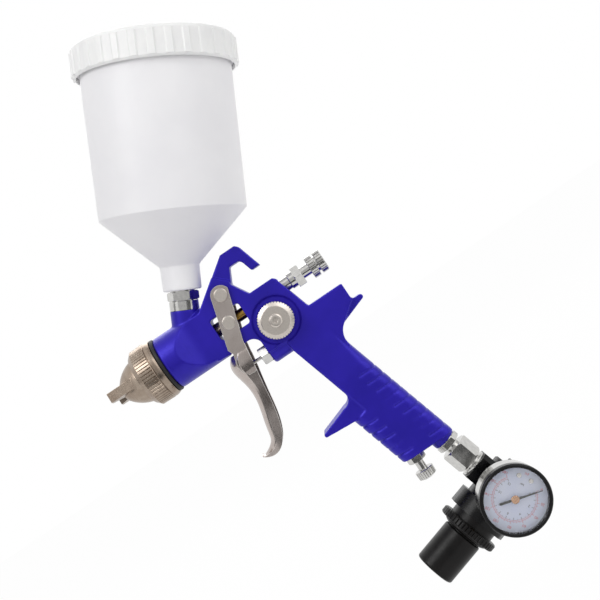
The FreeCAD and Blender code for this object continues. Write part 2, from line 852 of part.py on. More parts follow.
def add_handle(body):
    """The handle runs straight up, then narrows to the head; the deeper grip is below the rest."""
    upper = ("handle_rear", "handle_depth", "handle_half", "handle_corner", "handle_front_corner")
    shaft = sketch_on(body, "XY_Plane", place=inlet_level("grip_top_length"))
    draw(shaft, rounded_section(*upper))
    prism(body, shaft, "handle_flat_length - grip_top_length")
    low = sketch_on(body, "XY_Plane", place=inlet_level("handle_flat_length"))
    draw(low, rounded_section(*upper))
    top = sketch_on(body, "XY_Plane", place=inlet_level("handle_top_length"))
    draw(top, rounded_section("handle_rear", "handle_depth", "head_half", "handle_top_corner",
                              "handle_front_corner"))
    loft(body, [low, top])
    grip = sketch_on(body, "XY_Plane", place=inlet_level("-grip_overrun"))
    draw(grip, rounded_section("handle_rear", "grip_depth", "handle_half", "handle_corner",
                               "handle_corner"))
    prism(body, grip, "grip_top_length + grip_overrun + 0.5")
    below = sketch_on(body, "XZ_Plane")
    low_z = "inlet_z - 40"
    draw(below, [
        ("air_screw_x - 40", "handle_base"), ("inlet_x + 40", "handle_base"),
        ("inlet_x + 40", low_z), ("air_screw_x - 40", low_z),
    ])
    prism(body, below, "4 * handle_half", cuts=True, both=True)
    turn(body, "Z", [
        ("0", "0"), ("inlet_boss_length", "0"), ("inlet_boss_length", "inlet_boss_radius"),
        ("1", "inlet_boss_radius"), ("0", "inlet_boss_radius - 1"),
    ], place=sketch_place(INLET))
    return grip


def cut_ribs(body, grip, rear):
    """Grooves that part the grip into ribs and run round its rear or front corner."""
    slope = "cos(handle_lean)"
    first = "rear_rib_first" if rear else "front_rib_first"
    width = "rear_rib_width" if rear else "front_rib_width"
    depth = "0" if rear else "grip_depth"
    side = 1 if rear else -1
    level = size(first)
    run = (size("inlet_z") - level) * math.tan(math.radians(size("handle_lean")))
    edge = size("inlet_x") + run + (size("handle_rear") - size(depth)) / math.cos(
        math.radians(size("handle_lean")))
    place = FreeCAD.Placement(FreeCAD.Vector(edge, 0, level), turned_about((0, 0, 1), 0 if rear else 180))
    sketch = sketch_on(body, "XY_Plane", place=place)
    core = "handle_half - rib_depth"
    outer = "handle_half + 2"
    corner = f"(handle_corner - rib_depth) / {slope}"
    bend = f"({corner}) * (1 - cos(45))"
    draw(sketch, [
        (minus(width), outer),
        ("3", outer),
        ("3", f"-({outer})"),
        (minus(width), f"-({outer})"),
        (minus(width), f"-({core})"),
        (f"-rib_depth - ({corner})", f"-({core})"),
        (f"-rib_depth - ({bend})", f"-({core}) + ({bend})", "arc"),
        ("-rib_depth", f"-({core}) + ({corner})"),
        ("-rib_depth", f"({core}) - ({corner})"),
        (f"-rib_depth - ({bend})", f"({core}) - ({bend})", "arc"),
        (f"-rib_depth - ({corner})", core),
        (minus(width), core),
    ])
    groove = prism(body, sketch, "rib_gap", cuts=True)
    pattern = body.newObject("PartDesign::LinearPattern", "Ribs")
    pattern.Originals = [groove]
    pattern.Direction = (grip, ["N_Axis"])
    pattern.Reversed = True
    count = 9 if rear else 5
    pattern.Occurrences = count
    pattern.setExpression("Length", bound(f"{count - 1} * rib_pitch / {slope}"))
    finish_feature(body, pattern, cuts=True)


def cut_window(body):
    """The window that the needle, its packing gland and the trigger's cross pin work in."""
    c = "window_corner"
    bend = f"{c} * (1 - cos(45))"
    plate(body, [
        (f"window_front + {c}", "window_low"),
        (f"window_back - {c}", "window_low"),
        (f"window_back - {bend}", f"window_low + {bend}", "arc"),
        ("window_back", f"window_low + {c}"),
        ("window_back", f"window_top - {c}"),
        (f"window_back - {bend}", f"window_top - {bend}", "arc"),
        (f"window_back - {c}", "window_top"),
        (f"window_front + {c}", "window_top"),
        (f"window_front + {bend}", f"window_top - {bend}", "arc"),
        ("window_front", f"window_top - {c}"),
        ("window_front", f"window_low + {c}"),
        (f"window_front + {bend}", f"window_low + {bend}", "arc"),
    ], "barrel_radius", cuts=True)


def cut_bores(body):
    """Every passage and seat in the casting."""
    turn(body, "X", [
        ("nose_front", "0"), ("window_front", "0"), ("window_front", "packing_bore"),
        ("packing_front", "packing_bore"), ("packing_front", "fluid_bore"),
        ("nozzle_thread_end", "fluid_bore"), ("nozzle_thread_end", "nozzle_thread_radius"),
        ("nose_front", "nozzle_thread_radius"),
    ], cuts=True)
    turn(body, "X", [
        ("window_back - 1", "0"), ("head_rear_low_x", "0"), ("head_rear_low_x", "spring_bore"),
        ("spring_bore_front", "spring_bore"), ("spring_bore_front", "collar_radius + slide_gap"),
        ("window_back - 1", "collar_radius + slide_gap"),
    ], cuts=True)
    hole(body, "X", "valve_boss_front - 1", "valve_bore_end", "valve_bore", place=sketch_place(VALVE))
    turn(body, "Z", [
        ("0", "0"), ("boss_top", "0"), ("boss_top", "adapter_thread_radius"),
        ("boss_top - adapter_thread_depth", "adapter_thread_radius"),
        ("boss_top - adapter_thread_depth", "port_bore"), ("0", "port_bore"),
    ], cuts=True, place=sketch_place(CUP))
    turn(body, "Z", [
        ("0", "0"), ("pipe_bore_length", "0"), ("pipe_bore_length", "pipe_bore"),
        ("pipe_thread_length", "pipe_bore"), ("pipe_thread_length", "pipe_thread_radius"),
        ("0", "pipe_thread_radius"),
    ], cuts=True, place=sketch_place(INLET))
    hole(body, "Z", "handle_base - 1", "air_screw_bore_top", "air_screw_bore",
         place=sketch_place(AIR_SCREW))
    hole(body, "Y", "-head_half - 1", "head_half + 1", "pin_radius",
         place=FreeCAD.Placement(vector("pivot_x", "0", "pivot_z"), FreeCAD.Rotation()))
    turn(body, "Y", [
        ("pattern_bore_depth", "0"), ("head_half + 1", "0"),
        ("head_half + 1", "pattern_recess_radius"),
        ("head_half - pattern_recess_depth", "pattern_recess_radius"),
        ("head_half - pattern_recess_depth", "pattern_bore"), ("pattern_bore_depth", "pattern_bore"),
    ], cuts=True, place=PATTERN)


# ---------------------------------------------------------------- nozzle, air cap and ring

CAP = FreeCAD.Placement(FreeCAD.Vector(0, 0, 0), turned_about((1, 0, 0), -size("cap_angle")))


def build_front():
    nozzle = turned("fluid_nozzle", "X", [
        ("0", "nozzle_bore"), ("3", "nozzle_bore"), ("8", "fluid_bore - 0.6"),
        ("nozzle_thread_end", "fluid_bore - 0.6"), ("nozzle_thread_end", "nozzle_thread_radius"),
        ("nose_front", "nozzle_thread_radius"), ("nose_front", "nozzle_flange_radius"),
        ("baffle_front - 1", "nozzle_flange_radius"), ("baffle_front - 1", "nozzle_body_radius"),
        ("cap_face + cap_wall + 4.2", "nozzle_body_radius"),
        ("cap_face + cap_wall - 0.4", "nozzle_tip_radius"), ("0", "nozzle_tip_radius"),
    ])
    cut_flats(nozzle, "X", "nozzle_flange_radius * 1.75", "baffle_front - 1", "baffle_front + 0.6")

    baffle = ring("air_baffle", "X", "baffle_front", "nose_front - touch_gap",
                  "nozzle_flange_radius + slide_gap", "baffle_radius")
    holes = sketch_on(baffle, "YZ_Plane", "baffle_front - 1")
    draw_circle(holes, "0", "(nozzle_flange_radius + baffle_radius) / 2", "1.4")
    around(baffle, holes, prism(baffle, holes, "nose_front - baffle_front + 2", cuts=True), "baffle_holes")

    build_air_cap()

    cap_ring = turned("cap_ring", "X", [
        ("ring_front", "ring_lip + slide_gap"), ("ring_front", "ring_lip + 1.3"),
        ("ring_flute_front - 0.6", "ring_radius - 0.9"), ("ring_flute_front", "ring_radius - 0.2"),
        ("ring_flute_back", "ring_radius"), ("ring_flute_back + 0.5", "ring_radius - 0.5"),
        ("ring_flute_back + 1", "ring_radius"), ("ring_back - 1.6", "ring_radius - 0.3"),
        ("ring_back", "ring_radius - 1"), ("ring_back", "nose_radius + slide_gap"),
        ("nose_front - 1", "nose_radius + slide_gap"),
        ("cap_rim_front - touch_gap", "cap_rim_radius + slide_gap * 2"),
        ("cap_rim_front - touch_gap", "ring_lip + slide_gap"),
    ])
    cut_flutes(cap_ring, "X", "ring_radius", "ring_flute_depth", "ring_flute_front", "ring_flute_back",
               "ring_flutes")

    turned("body_seal_ring", "X", [
        ("ring_back + touch_gap", "nose_radius"), ("shoulder_x", "nose_radius"),
        ("shoulder_x", "seal_radius - 0.9"), ("shoulder_x - 0.6", "seal_radius"),
        ("ring_back + touch_gap + 0.6", "seal_radius"), ("ring_back + touch_gap", "seal_radius - 0.6"),
    ])


def build_air_cap():
    """A coned cap with two horns, each with a slanting jet hole that meets the spray."""
    cap = part("air_cap", CAP)
    turn(cap, "X", [
        ("cap_face", "nozzle_tip_radius + cap_gap"), ("cap_face", "cap_face_radius"),
        ("(cap_face + ring_front) / 2 - 1", "(cap_face_radius + cap_edge_radius) / 2 + 1.2", "arc"),
        ("ring_front", "cap_edge_radius"), ("cap_rim_front", "cap_edge_radius"),
        ("cap_rim_front", "cap_rim_radius"), ("baffle_front - touch_gap", "cap_rim_radius"),
        ("baffle_front - touch_gap", "cap_edge_radius - cap_wall"),
        ("ring_front - 1", "cap_edge_radius - cap_wall"),
        ("cap_face + cap_wall + 2.6", "nozzle_body_radius + 1.4"),
        ("cap_face + cap_wall", "nozzle_tip_radius + cap_gap"),
    ])
    horn = sketch_on(cap, "XY_Plane")
    draw(horn, [
        ("horn_tip", "-horn_outer"), ("ring_front - 1.2", "-horn_outer"),
        ("ring_front - 2.2", "-horn_root - 4"), ("cap_face + 2.6", "-horn_root - 1"),
        ("cap_face", "-horn_root"), ("horn_tip", "-horn_inner"),
    ])
    one = prism(cap, horn, "horn_width", both=True)
    around_x = sketch_on(cap, "YZ_Plane")
    draw_circle(around_x, "0", "0", "horn_root")
    around(cap, around_x, one, "2", cuts=False)
    jet = sketch_on(cap, "XY_Plane")
    draw(jet, [
        ("horn_tip + 1.2", "-horn_inner - 2.6"), ("horn_tip + 1.2 + 2 * horn_hole", "-horn_inner - 2.6"),
        ("horn_tip + 3.0 + 2 * horn_hole", "-horn_root"), ("horn_tip + 3.0", "-horn_root"),
    ])
    jet_cut = prism(cap, jet, "2 * horn_hole", cuts=True, both=True)
    around(cap, around_x, jet_cut, "2")


# ---------------------------------------------------------------- needle, packing and fluid knob

def build_needle():
    turned("packing_seal", "X", [
        ("packing_front", "needle_radius + slide_gap"),
        ("packing_front + packing_length", "needle_radius + slide_gap"),
        ("packing_front + packing_length", "packing_bore"), ("packing_front", "packing_bore"),
    ])
    gland = turned("packing_gland", "X", [
        ("packing_front + packing_length", "needle_radius + slide_gap"),
        ("window_front + gland_head", "needle_radius + slide_gap"),
        ("window_front + gland_head", "gland_across / 2"), ("window_front", "gland_across / 2 + 0.4"),
        ("window_front", "packing_bore"), ("packing_front + packing_length", "packing_bore"),
    ])
    cut_flats(gland, "X", "gland_across - 0.6", "window_front", "window_front + gland_head + 0.1")
    turned("needle", "X", [
        ("0.3", "0"), ("0.3", "nozzle_bore - 0.25"), ("3", "nozzle_bore - slide_gap"),
        ("needle_taper_x", "needle_radius"), ("needle_end", "needle_radius"), ("needle_end", "0"),
    ])
    turned("needle_collar", "X", [
        ("cross_pin_x + cross_pin_radius + touch_gap", "needle_radius"),
        ("cross_pin_x + cross_pin_radius + touch_gap", "collar_radius"),
        ("collar_back", "collar_radius"), ("collar_back", "collar_flange"),
        ("collar_back + collar_flange_length", "collar_flange"),
        ("collar_back + collar_flange_length", "needle_radius"),
    ])
    spring("needle_spring", "X", "collar_back + collar_flange_length", "seat_front",
           "needle_spring_radius", "needle_spring_wire", 7)
    ring("needle_spring_seat", "X", "seat_front", "seat_front + seat_length", "seat_bore",
         "housing_bore - slide_gap")
    housing = turned("spring_housing", "X", [
        ("housing_front", "housing_bore"), ("housing_back", "housing_bore"),
        ("housing_back", "knob_shaft_radius + slide_gap"),
        ("housing_nut_back", "knob_shaft_radius + slide_gap"),
        ("housing_nut_back", "housing_hex_across / 2 + 0.4"),
        ("housing_nut_back - 0.6", "housing_hex_across / 2 * 1.14"),
        ("housing_hex_front + 0.6", "housing_hex_across / 2 * 1.14"),
        ("housing_hex_front", "housing_hex_across / 2 + 0.4"),
        ("housing_hex_front", "housing_nut_radius"), ("housing_nut_front + 0.5", "housing_nut_radius"),
        ("housing_nut_front", "housing_nut_radius - 0.5"), ("housing_nut_front", "spring_bore"),
        ("housing_front", "spring_bore"),
    ])
    cut_flats(housing, "X", "housing_hex_across", "housing_hex_front", "housing_nut_back + 0.1")
    knob = turned("fluid_knob", "X", [
        ("seat_front + seat_length + touch_gap", "0"),
        ("seat_front + seat_length + touch_gap", "housing_bore - slide_gap"),
        ("knob_shoulder", "housing_bore - slide_gap"), ("knob_shoulder", "knob_shaft_radius"),
        ("fluid_knob_front - 1.2", "knob_shaft_radius"), ("fluid_knob_front - 1.2", "knob_shaft_radius + 1.4"),
        ("fluid_knob_front", "knob_shaft_radius + 1.4"), ("fluid_knob_front", "fluid_knob_radius - 0.4"),
        ("fluid_knob_front + 0.4", "fluid_knob_radius"), ("fluid_knob_back - 0.6", "fluid_knob_radius"),
        ("fluid_knob_back", "fluid_knob_radius - 0.6"), ("fluid_knob_back", "0"),
    ])
    cut_flutes(knob, "X", "fluid_knob_radius", "knob_flute_depth", "fluid_knob_front",
               "fluid_knob_back + 0.1", "knob_flutes")
    lock = turned("fluid_lock_ring", "X", [
        ("lock_ring_front", "knob_shaft_radius + slide_gap"),
        ("lock_ring_front + lock_ring_length", "knob_shaft_radius + slide_gap"),
        ("lock_ring_front + lock_ring_length", "fluid_knob_radius - 0.4"),
        ("lock_ring_front + lock_ring_length - 0.4", "fluid_knob_radius"),
        ("lock_ring_front + 0.4", "fluid_knob_radius"), ("lock_ring_front", "fluid_knob_radius - 0.4"),
    ])
    cut_flutes(lock, "X", "fluid_knob_radius", "knob_flute_depth", "lock_ring_front - 0.1",
               "lock_ring_front + lock_ring_length + 0.1", "knob_flutes")


# ---------------------------------------------------------------- trigger

def trigger_section(body, front, rear, half, height, wall="0", tilt="0"):
    """A sketch of the trigger's round-fronted section. Front and rear are along the section's own
    x axis; a wall makes the smaller section of the channel, open at the rear."""
    if tilt == "0":
        place = FreeCAD.Placement(vector("0", "0", height), FreeCAD.Rotation())
    else:
        place = FreeCAD.Placement(
            vector(*height), turned_about((0, 1, 0), size(tilt)))
    sketch = sketch_on(body, "XY_Plane", place=place)
    inner_half = f"({half}) - ({wall})"
    nose = f"({front}) + ({wall})"
    back = f"({rear}) + 3 * ({wall})"
    shoulder = f"({front}) + ({half}) * 0.55"
    draw(sketch, [
        (shoulder, f"-({inner_half})"),
        (nose, "0", "arc"),
        (shoulder, inner_half),
        (back, inner_half),
        (back, f"-({inner_half})"),
    ])
    return sketch


def build_trigger():
    body = part("trigger")
    outer_half = "head_half + leg_gap + leg_wall"
    curl = ("curl_x", "0", "curl_z")
    tip = ("tip_x", "0", "tip_z")
    for wall in ("0", "trigger_wall"):
        levels = [
            ("web_top_front", "web_top_rear", outer_half, "web_top_z" if wall == "0" else "web_top_z + 1", "0"),
            ("web_swell_front", "web_swell_rear", outer_half, "web_swell_z", "0"),
            ("web_neck_front", "web_neck_rear", "web_neck_half", "web_neck_z", "0"),
            ("finger_front", "finger_rear", "finger_half", "finger_z", "0"),
            ("-curl_depth / 2", "curl_depth / 2", "curl_half", curl, "curl_tilt"),
        ]
        if wall == "0":
            levels.append(("-tip_depth / 2", "tip_depth / 2", "tip_half", tip, "tip_tilt"))
        sections = [trigger_section(body, f, r, h, z, wall, t) for f, r, h, z, t in levels]
        loft(body, sections, cuts=wall != "0")
    for side in ("outer", "mirror"):
        near = "head_half + leg_gap"
        lift = near if side == "outer" else f"-({outer_half})"
        leg = sketch_on(body, "XZ_Plane", lift)
        draw(leg, LEG_OUTLINE)
        prism(body, leg, "leg_wall")
    hole(body, "Y", f"-({outer_half}) - 1", f"{outer_half} + 1", "pin_radius + slide_gap", place=PIVOT)
    cross = FreeCAD.Placement(vector("cross_pin_x", "0", "0"), FreeCAD.Rotation())
    hole(body, "Y", f"-({outer_half}) - 1", f"{outer_half} + 1", "cross_pin_radius", place=cross)

    pin = part("trigger_cross_pin", cross)
    turn(pin, "Y", [
        (f"-({outer_half}) - 0.4", "0"), (f"{outer_half} + 0.4", "0"),
        (f"{outer_half} + 0.4", "cross_pin_radius - 0.4"), (outer_half, "cross_pin_radius"),
        (f"-({outer_half})", "cross_pin_radius"), (f"-({outer_half}) - 0.4", "cross_pin_radius - 0.4"),
    ])
    slot = sketch_on(pin, "YZ_Plane", "-cross_pin_radius - 1")
    draw(slot, [
        ("-cross_slot_width / 2", "-cross_slot_half"), ("cross_slot_width / 2", "-cross_slot_half"),
        ("cross_slot_width / 2", "cross_slot_half"), ("-cross_slot_width / 2", "cross_slot_half"),
    ])
    prism(pin, slot, "2 * cross_pin_radius + 2", cuts=True)

    turned("trigger_pivot_pin", "Y", [
        (f"-({outer_half})", "0"), (f"{outer_half} + slide_gap + pin_head_length", "0"),
        (f"{outer_half} + slide_gap + pin_head_length", "pin_head_radius - 0.4"),
        (f"{outer_half} + slide_gap", "pin_head_radius"), (f"{outer_half} + slide_gap", "pin_radius"),
        (f"-({outer_half})", "pin_radius"),
    ], PIVOT)
    screw = turned("trigger_pivot_screw", "Y", [
        (f"-({outer_half}) - 2", "0"), (f"-({outer_half}) - slide_gap", "0"),
        (f"-({outer_half}) - slide_gap", "pin_head_radius"), (f"-({outer_half}) - 1.4", "pin_head_radius"),
        (f"-({outer_half}) - 2", "pin_head_radius - 0.6"),
    ], PIVOT)
    driver_slot = sketch_on(screw, "XZ_Plane", f"-({outer_half}) - 3")
    draw(driver_slot, [
        ("-5", "-0.5"), ("5", "-0.5"), ("5", "0.5"), ("-5", "0.5"),
    ])
    prism(screw, driver_slot, "1.8", cuts=True)


LEG_OUTLINE = [
    ("pivot_x - leg_radius", "pivot_z + 1.5"),
    ("pivot_x", "pivot_z + leg_radius", "arc"),
    ("pivot_x + leg_radius", "pivot_z + 1.5"),
    ("leg_rear_knee", "leg_knee_z"),
    ("leg_low_rear", "leg_low_z"),
    ("leg_low_front + 4", "leg_low_z"),
    ("leg_low_front + 1", "leg_low_z + 4"),
    ("leg_low_front", "(leg_notch_z + leg_low_z) / 2"),
    ("leg_notch_x", "leg_notch_z"),
    ("leg_front_knee", "leg_knee_z"),
]


# ---------------------------------------------------------------- air valve, pattern valve, air screw

def build_air_valve():
    gland = turned("air_valve_gland", "X", [
        ("gland_nut_front", "stem_radius + slide_gap"), ("gland_thread_back", "stem_radius + slide_gap"),
        ("gland_thread_back", "valve_bore"), ("valve_boss_front", "valve_bore"),
        ("valve_boss_front", "gland_nut_across / 2 + 0.3"),
        ("valve_boss_front - 0.5", "gland_nut_across / 2 * 1.14"),
        ("gland_nut_front + 0.6", "gland_nut_across / 2 * 1.14"),
        ("gland_nut_front", "gland_nut_across / 2"),
    ], VALVE)
    cut_flats(gland, "X", "gland_nut_across", "gland_nut_front - 0.1", "valve_boss_front")
    ring("air_valve_seat", "X", "valve_seat_front", "valve_seat_back", "valve_seat_bore", "valve_bore", VALVE)
    front = "web_swell_front + trigger_wall + touch_gap / 2"
    turned("air_valve_stem", "X", [
        (front, "0"), (front, "stem_radius - 0.4"),
        (f"{front} + 0.4", "stem_radius"), ("poppet_front", "stem_radius"),
        ("poppet_front", "poppet_radius"), ("poppet_front + poppet_length", "poppet_radius"),
        ("poppet_front + poppet_length", "0"),
    ], VALVE)
    spring("air_valve_spring", "X", "poppet_front + poppet_length", "valve_bore_end",
           "valve_spring_radius", "valve_spring_wire", 6, VALVE)


def build_pattern_valve():
    turned("pattern_gland", "Y", [
        ("0", "pattern_stem_radius + oring_section"),
        ("head_half - 1.5", "pattern_stem_radius + oring_section"),
        ("head_half - 1.5", "pattern_stem_radius + slide_gap"),
        ("pattern_gland_out", "pattern_stem_radius + slide_gap"),
        ("pattern_gland_out", "pattern_gland_flange"),
        ("head_half - pattern_recess_depth", "pattern_gland_flange"),
        ("head_half - pattern_recess_depth", "pattern_bore"), ("0", "pattern_bore"),
    ], PATTERN)
    ring("pattern_oring", "Y", "3", "3 + oring_section", "pattern_stem_radius + slide_gap",
         "pattern_stem_radius + oring_section - slide_gap", PATTERN)
    turned("pattern_stem", "Y", [
        ("-3.6", "0"), ("-3.6", "0.6"), ("-1.5", "pattern_stem_radius"),
        ("pattern_knob_in + 3", "pattern_stem_radius"), ("pattern_knob_in + 3", "0"),
    ], PATTERN)
    knob = part("pattern_knob", PATTERN)
    turn(knob, "Y", [
        ("pattern_knob_in", "pattern_stem_radius"), ("pattern_knob_in + 3", "pattern_stem_radius"),
        ("pattern_knob_in + 3", "0"), ("pattern_knob_out", "0"),
        ("pattern_knob_out", "pattern_cap_radius - 0.5"),
        ("pattern_knob_out - 0.4", "pattern_cap_radius"),
        ("pattern_knob_out - pattern_cap_height", "pattern_cap_radius"),
        ("pattern_knob_out - pattern_cap_height - 1", "pattern_knob_radius - 0.3"),
        ("pattern_knob_out - pattern_cap_height - 1.5", "pattern_knob_radius"),
        ("pattern_knob_in + 0.6", "pattern_knob_radius"), ("pattern_knob_in", "pattern_knob_radius - 0.6"),
    ])
    cut_flutes(knob, "Y", "pattern_knob_radius", "pattern_flute_depth", "pattern_knob_in - 0.1",
               "pattern_knob_out - pattern_cap_height", "pattern_flutes")
    screw = turned("pattern_knob_screw", "Y", [
        ("pattern_knob_out", "0"), ("pattern_knob_out", "pattern_screw_radius"),
        ("pattern_knob_out + pattern_screw_height - 0.8", "pattern_screw_radius"),
        ("pattern_knob_out + pattern_screw_height", "pattern_screw_radius - 0.9"),
        ("pattern_knob_out + pattern_screw_height", "0"),
    ], PATTERN)
    cross = sketch_on(screw, "XZ_Plane", "pattern_knob_out + 0.5")
    draw(cross, CROSS_RECESS)
    prism(screw, cross, "pattern_screw_height", cuts=True)


CROSS_RECESS = [
    (x, y) for x, y in (
        ("0.4", "0.4"), ("0.4", "1.9"), ("-0.4", "1.9"), ("-0.4", "0.4"), ("-1.9", "0.4"), ("-1.9", "-0.4"),
        ("-0.4", "-0.4"), ("-0.4", "-1.9"), ("0.4", "-1.9"), ("0.4", "-0.4"), ("1.9", "-0.4"), ("1.9", "0.4"),
    )
]


def build_air_screw():
    hex_low = "handle_base - air_gland_length"
    gland = turned("air_screw_gland", "Z", [
        (hex_low, "air_screw_shaft + slide_gap"), ("handle_base + 7", "air_screw_shaft + slide_gap"),
        ("handle_base + 7", "air_screw_bore"), ("handle_base", "air_screw_bore"),
        ("handle_base", "air_gland_across / 2 * 1.14"),
        (f"{hex_low} + 0.6", "air_gland_across / 2 * 1.14"), (hex_low, "air_gland_across / 2"),
    ], AIR_SCREW)
    cut_flats(gland, "Z", "air_gland_across", f"{hex_low} - 0.1", "handle_base")
    ring("air_screw_oring", "Z", "handle_base + 9", "handle_base + 9 + oring_section",
         "air_screw_shaft + slide_gap", "air_screw_bore - slide_gap", AIR_SCREW)
    screw = turned("air_screw", "Z", [
        ("air_knob_low", "0"), ("air_knob_low", "air_knob_radius - 2"),
        ("air_knob_low + 0.9", "air_knob_radius - 0.2"), ("air_knob_top - 0.5", "air_knob_radius"),
        ("air_knob_top", "air_knob_radius - 0.5"), ("air_knob_top", "air_screw_shaft"),
        ("handle_base + 14", "air_screw_shaft"), ("handle_base + 16.5", "0.6"), ("handle_base + 16.5", "0"),
    ], AIR_SCREW)
    cut_flutes(screw, "Z", "air_knob_radius", "knob_flute_depth", "air_knob_low - 0.1",
               "air_knob_top + 0.1", "knob_flutes")


# ---------------------------------------------------------------- inlet nipple and swivel nut

def build_inlet():
    nipple = turned("inlet_nipple", "Z", [
        ("pipe_thread_length", "pipe_bore"), ("pipe_thread_length", "pipe_thread_radius"),
        ("0", "pipe_thread_radius"), ("0", "nipple_hex_across / 2 * 1.14"),
        ("-nipple_hex_length + 0.6", "nipple_hex_across / 2 * 1.14"),
        ("-nipple_hex_length", "nipple_hex_across / 2 + 0.2"),
        ("-nipple_hex_length", "nipple_neck_radius"), ("swivel_top - swivel_lip - 0.4", "nipple_neck_radius"),
        ("swivel_top - swivel_lip - 0.4", "nipple_cone_radius"), ("nipple_end", "nipple_cone_radius"),
        ("nipple_end", "pipe_bore"),
    ], INLET)
    cut_flats(nipple, "Z", "nipple_hex_across", "-nipple_hex_length - 0.1", "0")
    nut = turned("swivel_nut", "Z", [
        ("swivel_top", "nipple_neck_radius + slide_gap"),
        ("swivel_top", "swivel_across / 2 + 0.2"), ("swivel_top - 1", "swivel_across / 2 * 1.14"),
        ("swivel_low + 1", "swivel_across / 2 * 1.14"), ("swivel_low", "swivel_across / 2 + 0.2"),
        ("swivel_low", "pipe_thread_radius + slide_gap"),
        ("swivel_top - swivel_lip", "pipe_thread_radius + slide_gap"),
        ("swivel_top - swivel_lip", "nipple_neck_radius + slide_gap"),
    ], INLET)
    cut_flats(nut, "Z", "swivel_across", "swivel_low - 0.1", "swivel_top + 0.1")
    port_top = "port_half - regulator_drop"
    turned("regulator_stub", "Z", [
        (f"{port_top} - port_thread_length + 2", "pipe_bore"),
        (f"{port_top} - port_thread_length + 2", "pipe_thread_radius"),
        (port_top, "pipe_thread_radius"), (port_top, "stub_collar_radius + 2.6"),
        (f"{port_top} + stub_collar_length - 0.6", "stub_collar_radius + 2.6"),
        (f"{port_top} + stub_collar_length - 0.6", "stub_collar_radius"),
        ("swivel_low + 0.5", "stub_collar_radius"), ("swivel_low + 0.5", "pipe_thread_radius"),
        ("nipple_end - touch_gap", "pipe_thread_radius"), ("nipple_end - touch_gap", "pipe_bore"),
    ], INLET)


# ---------------------------------------------------------------- regulator, knob axis along -X

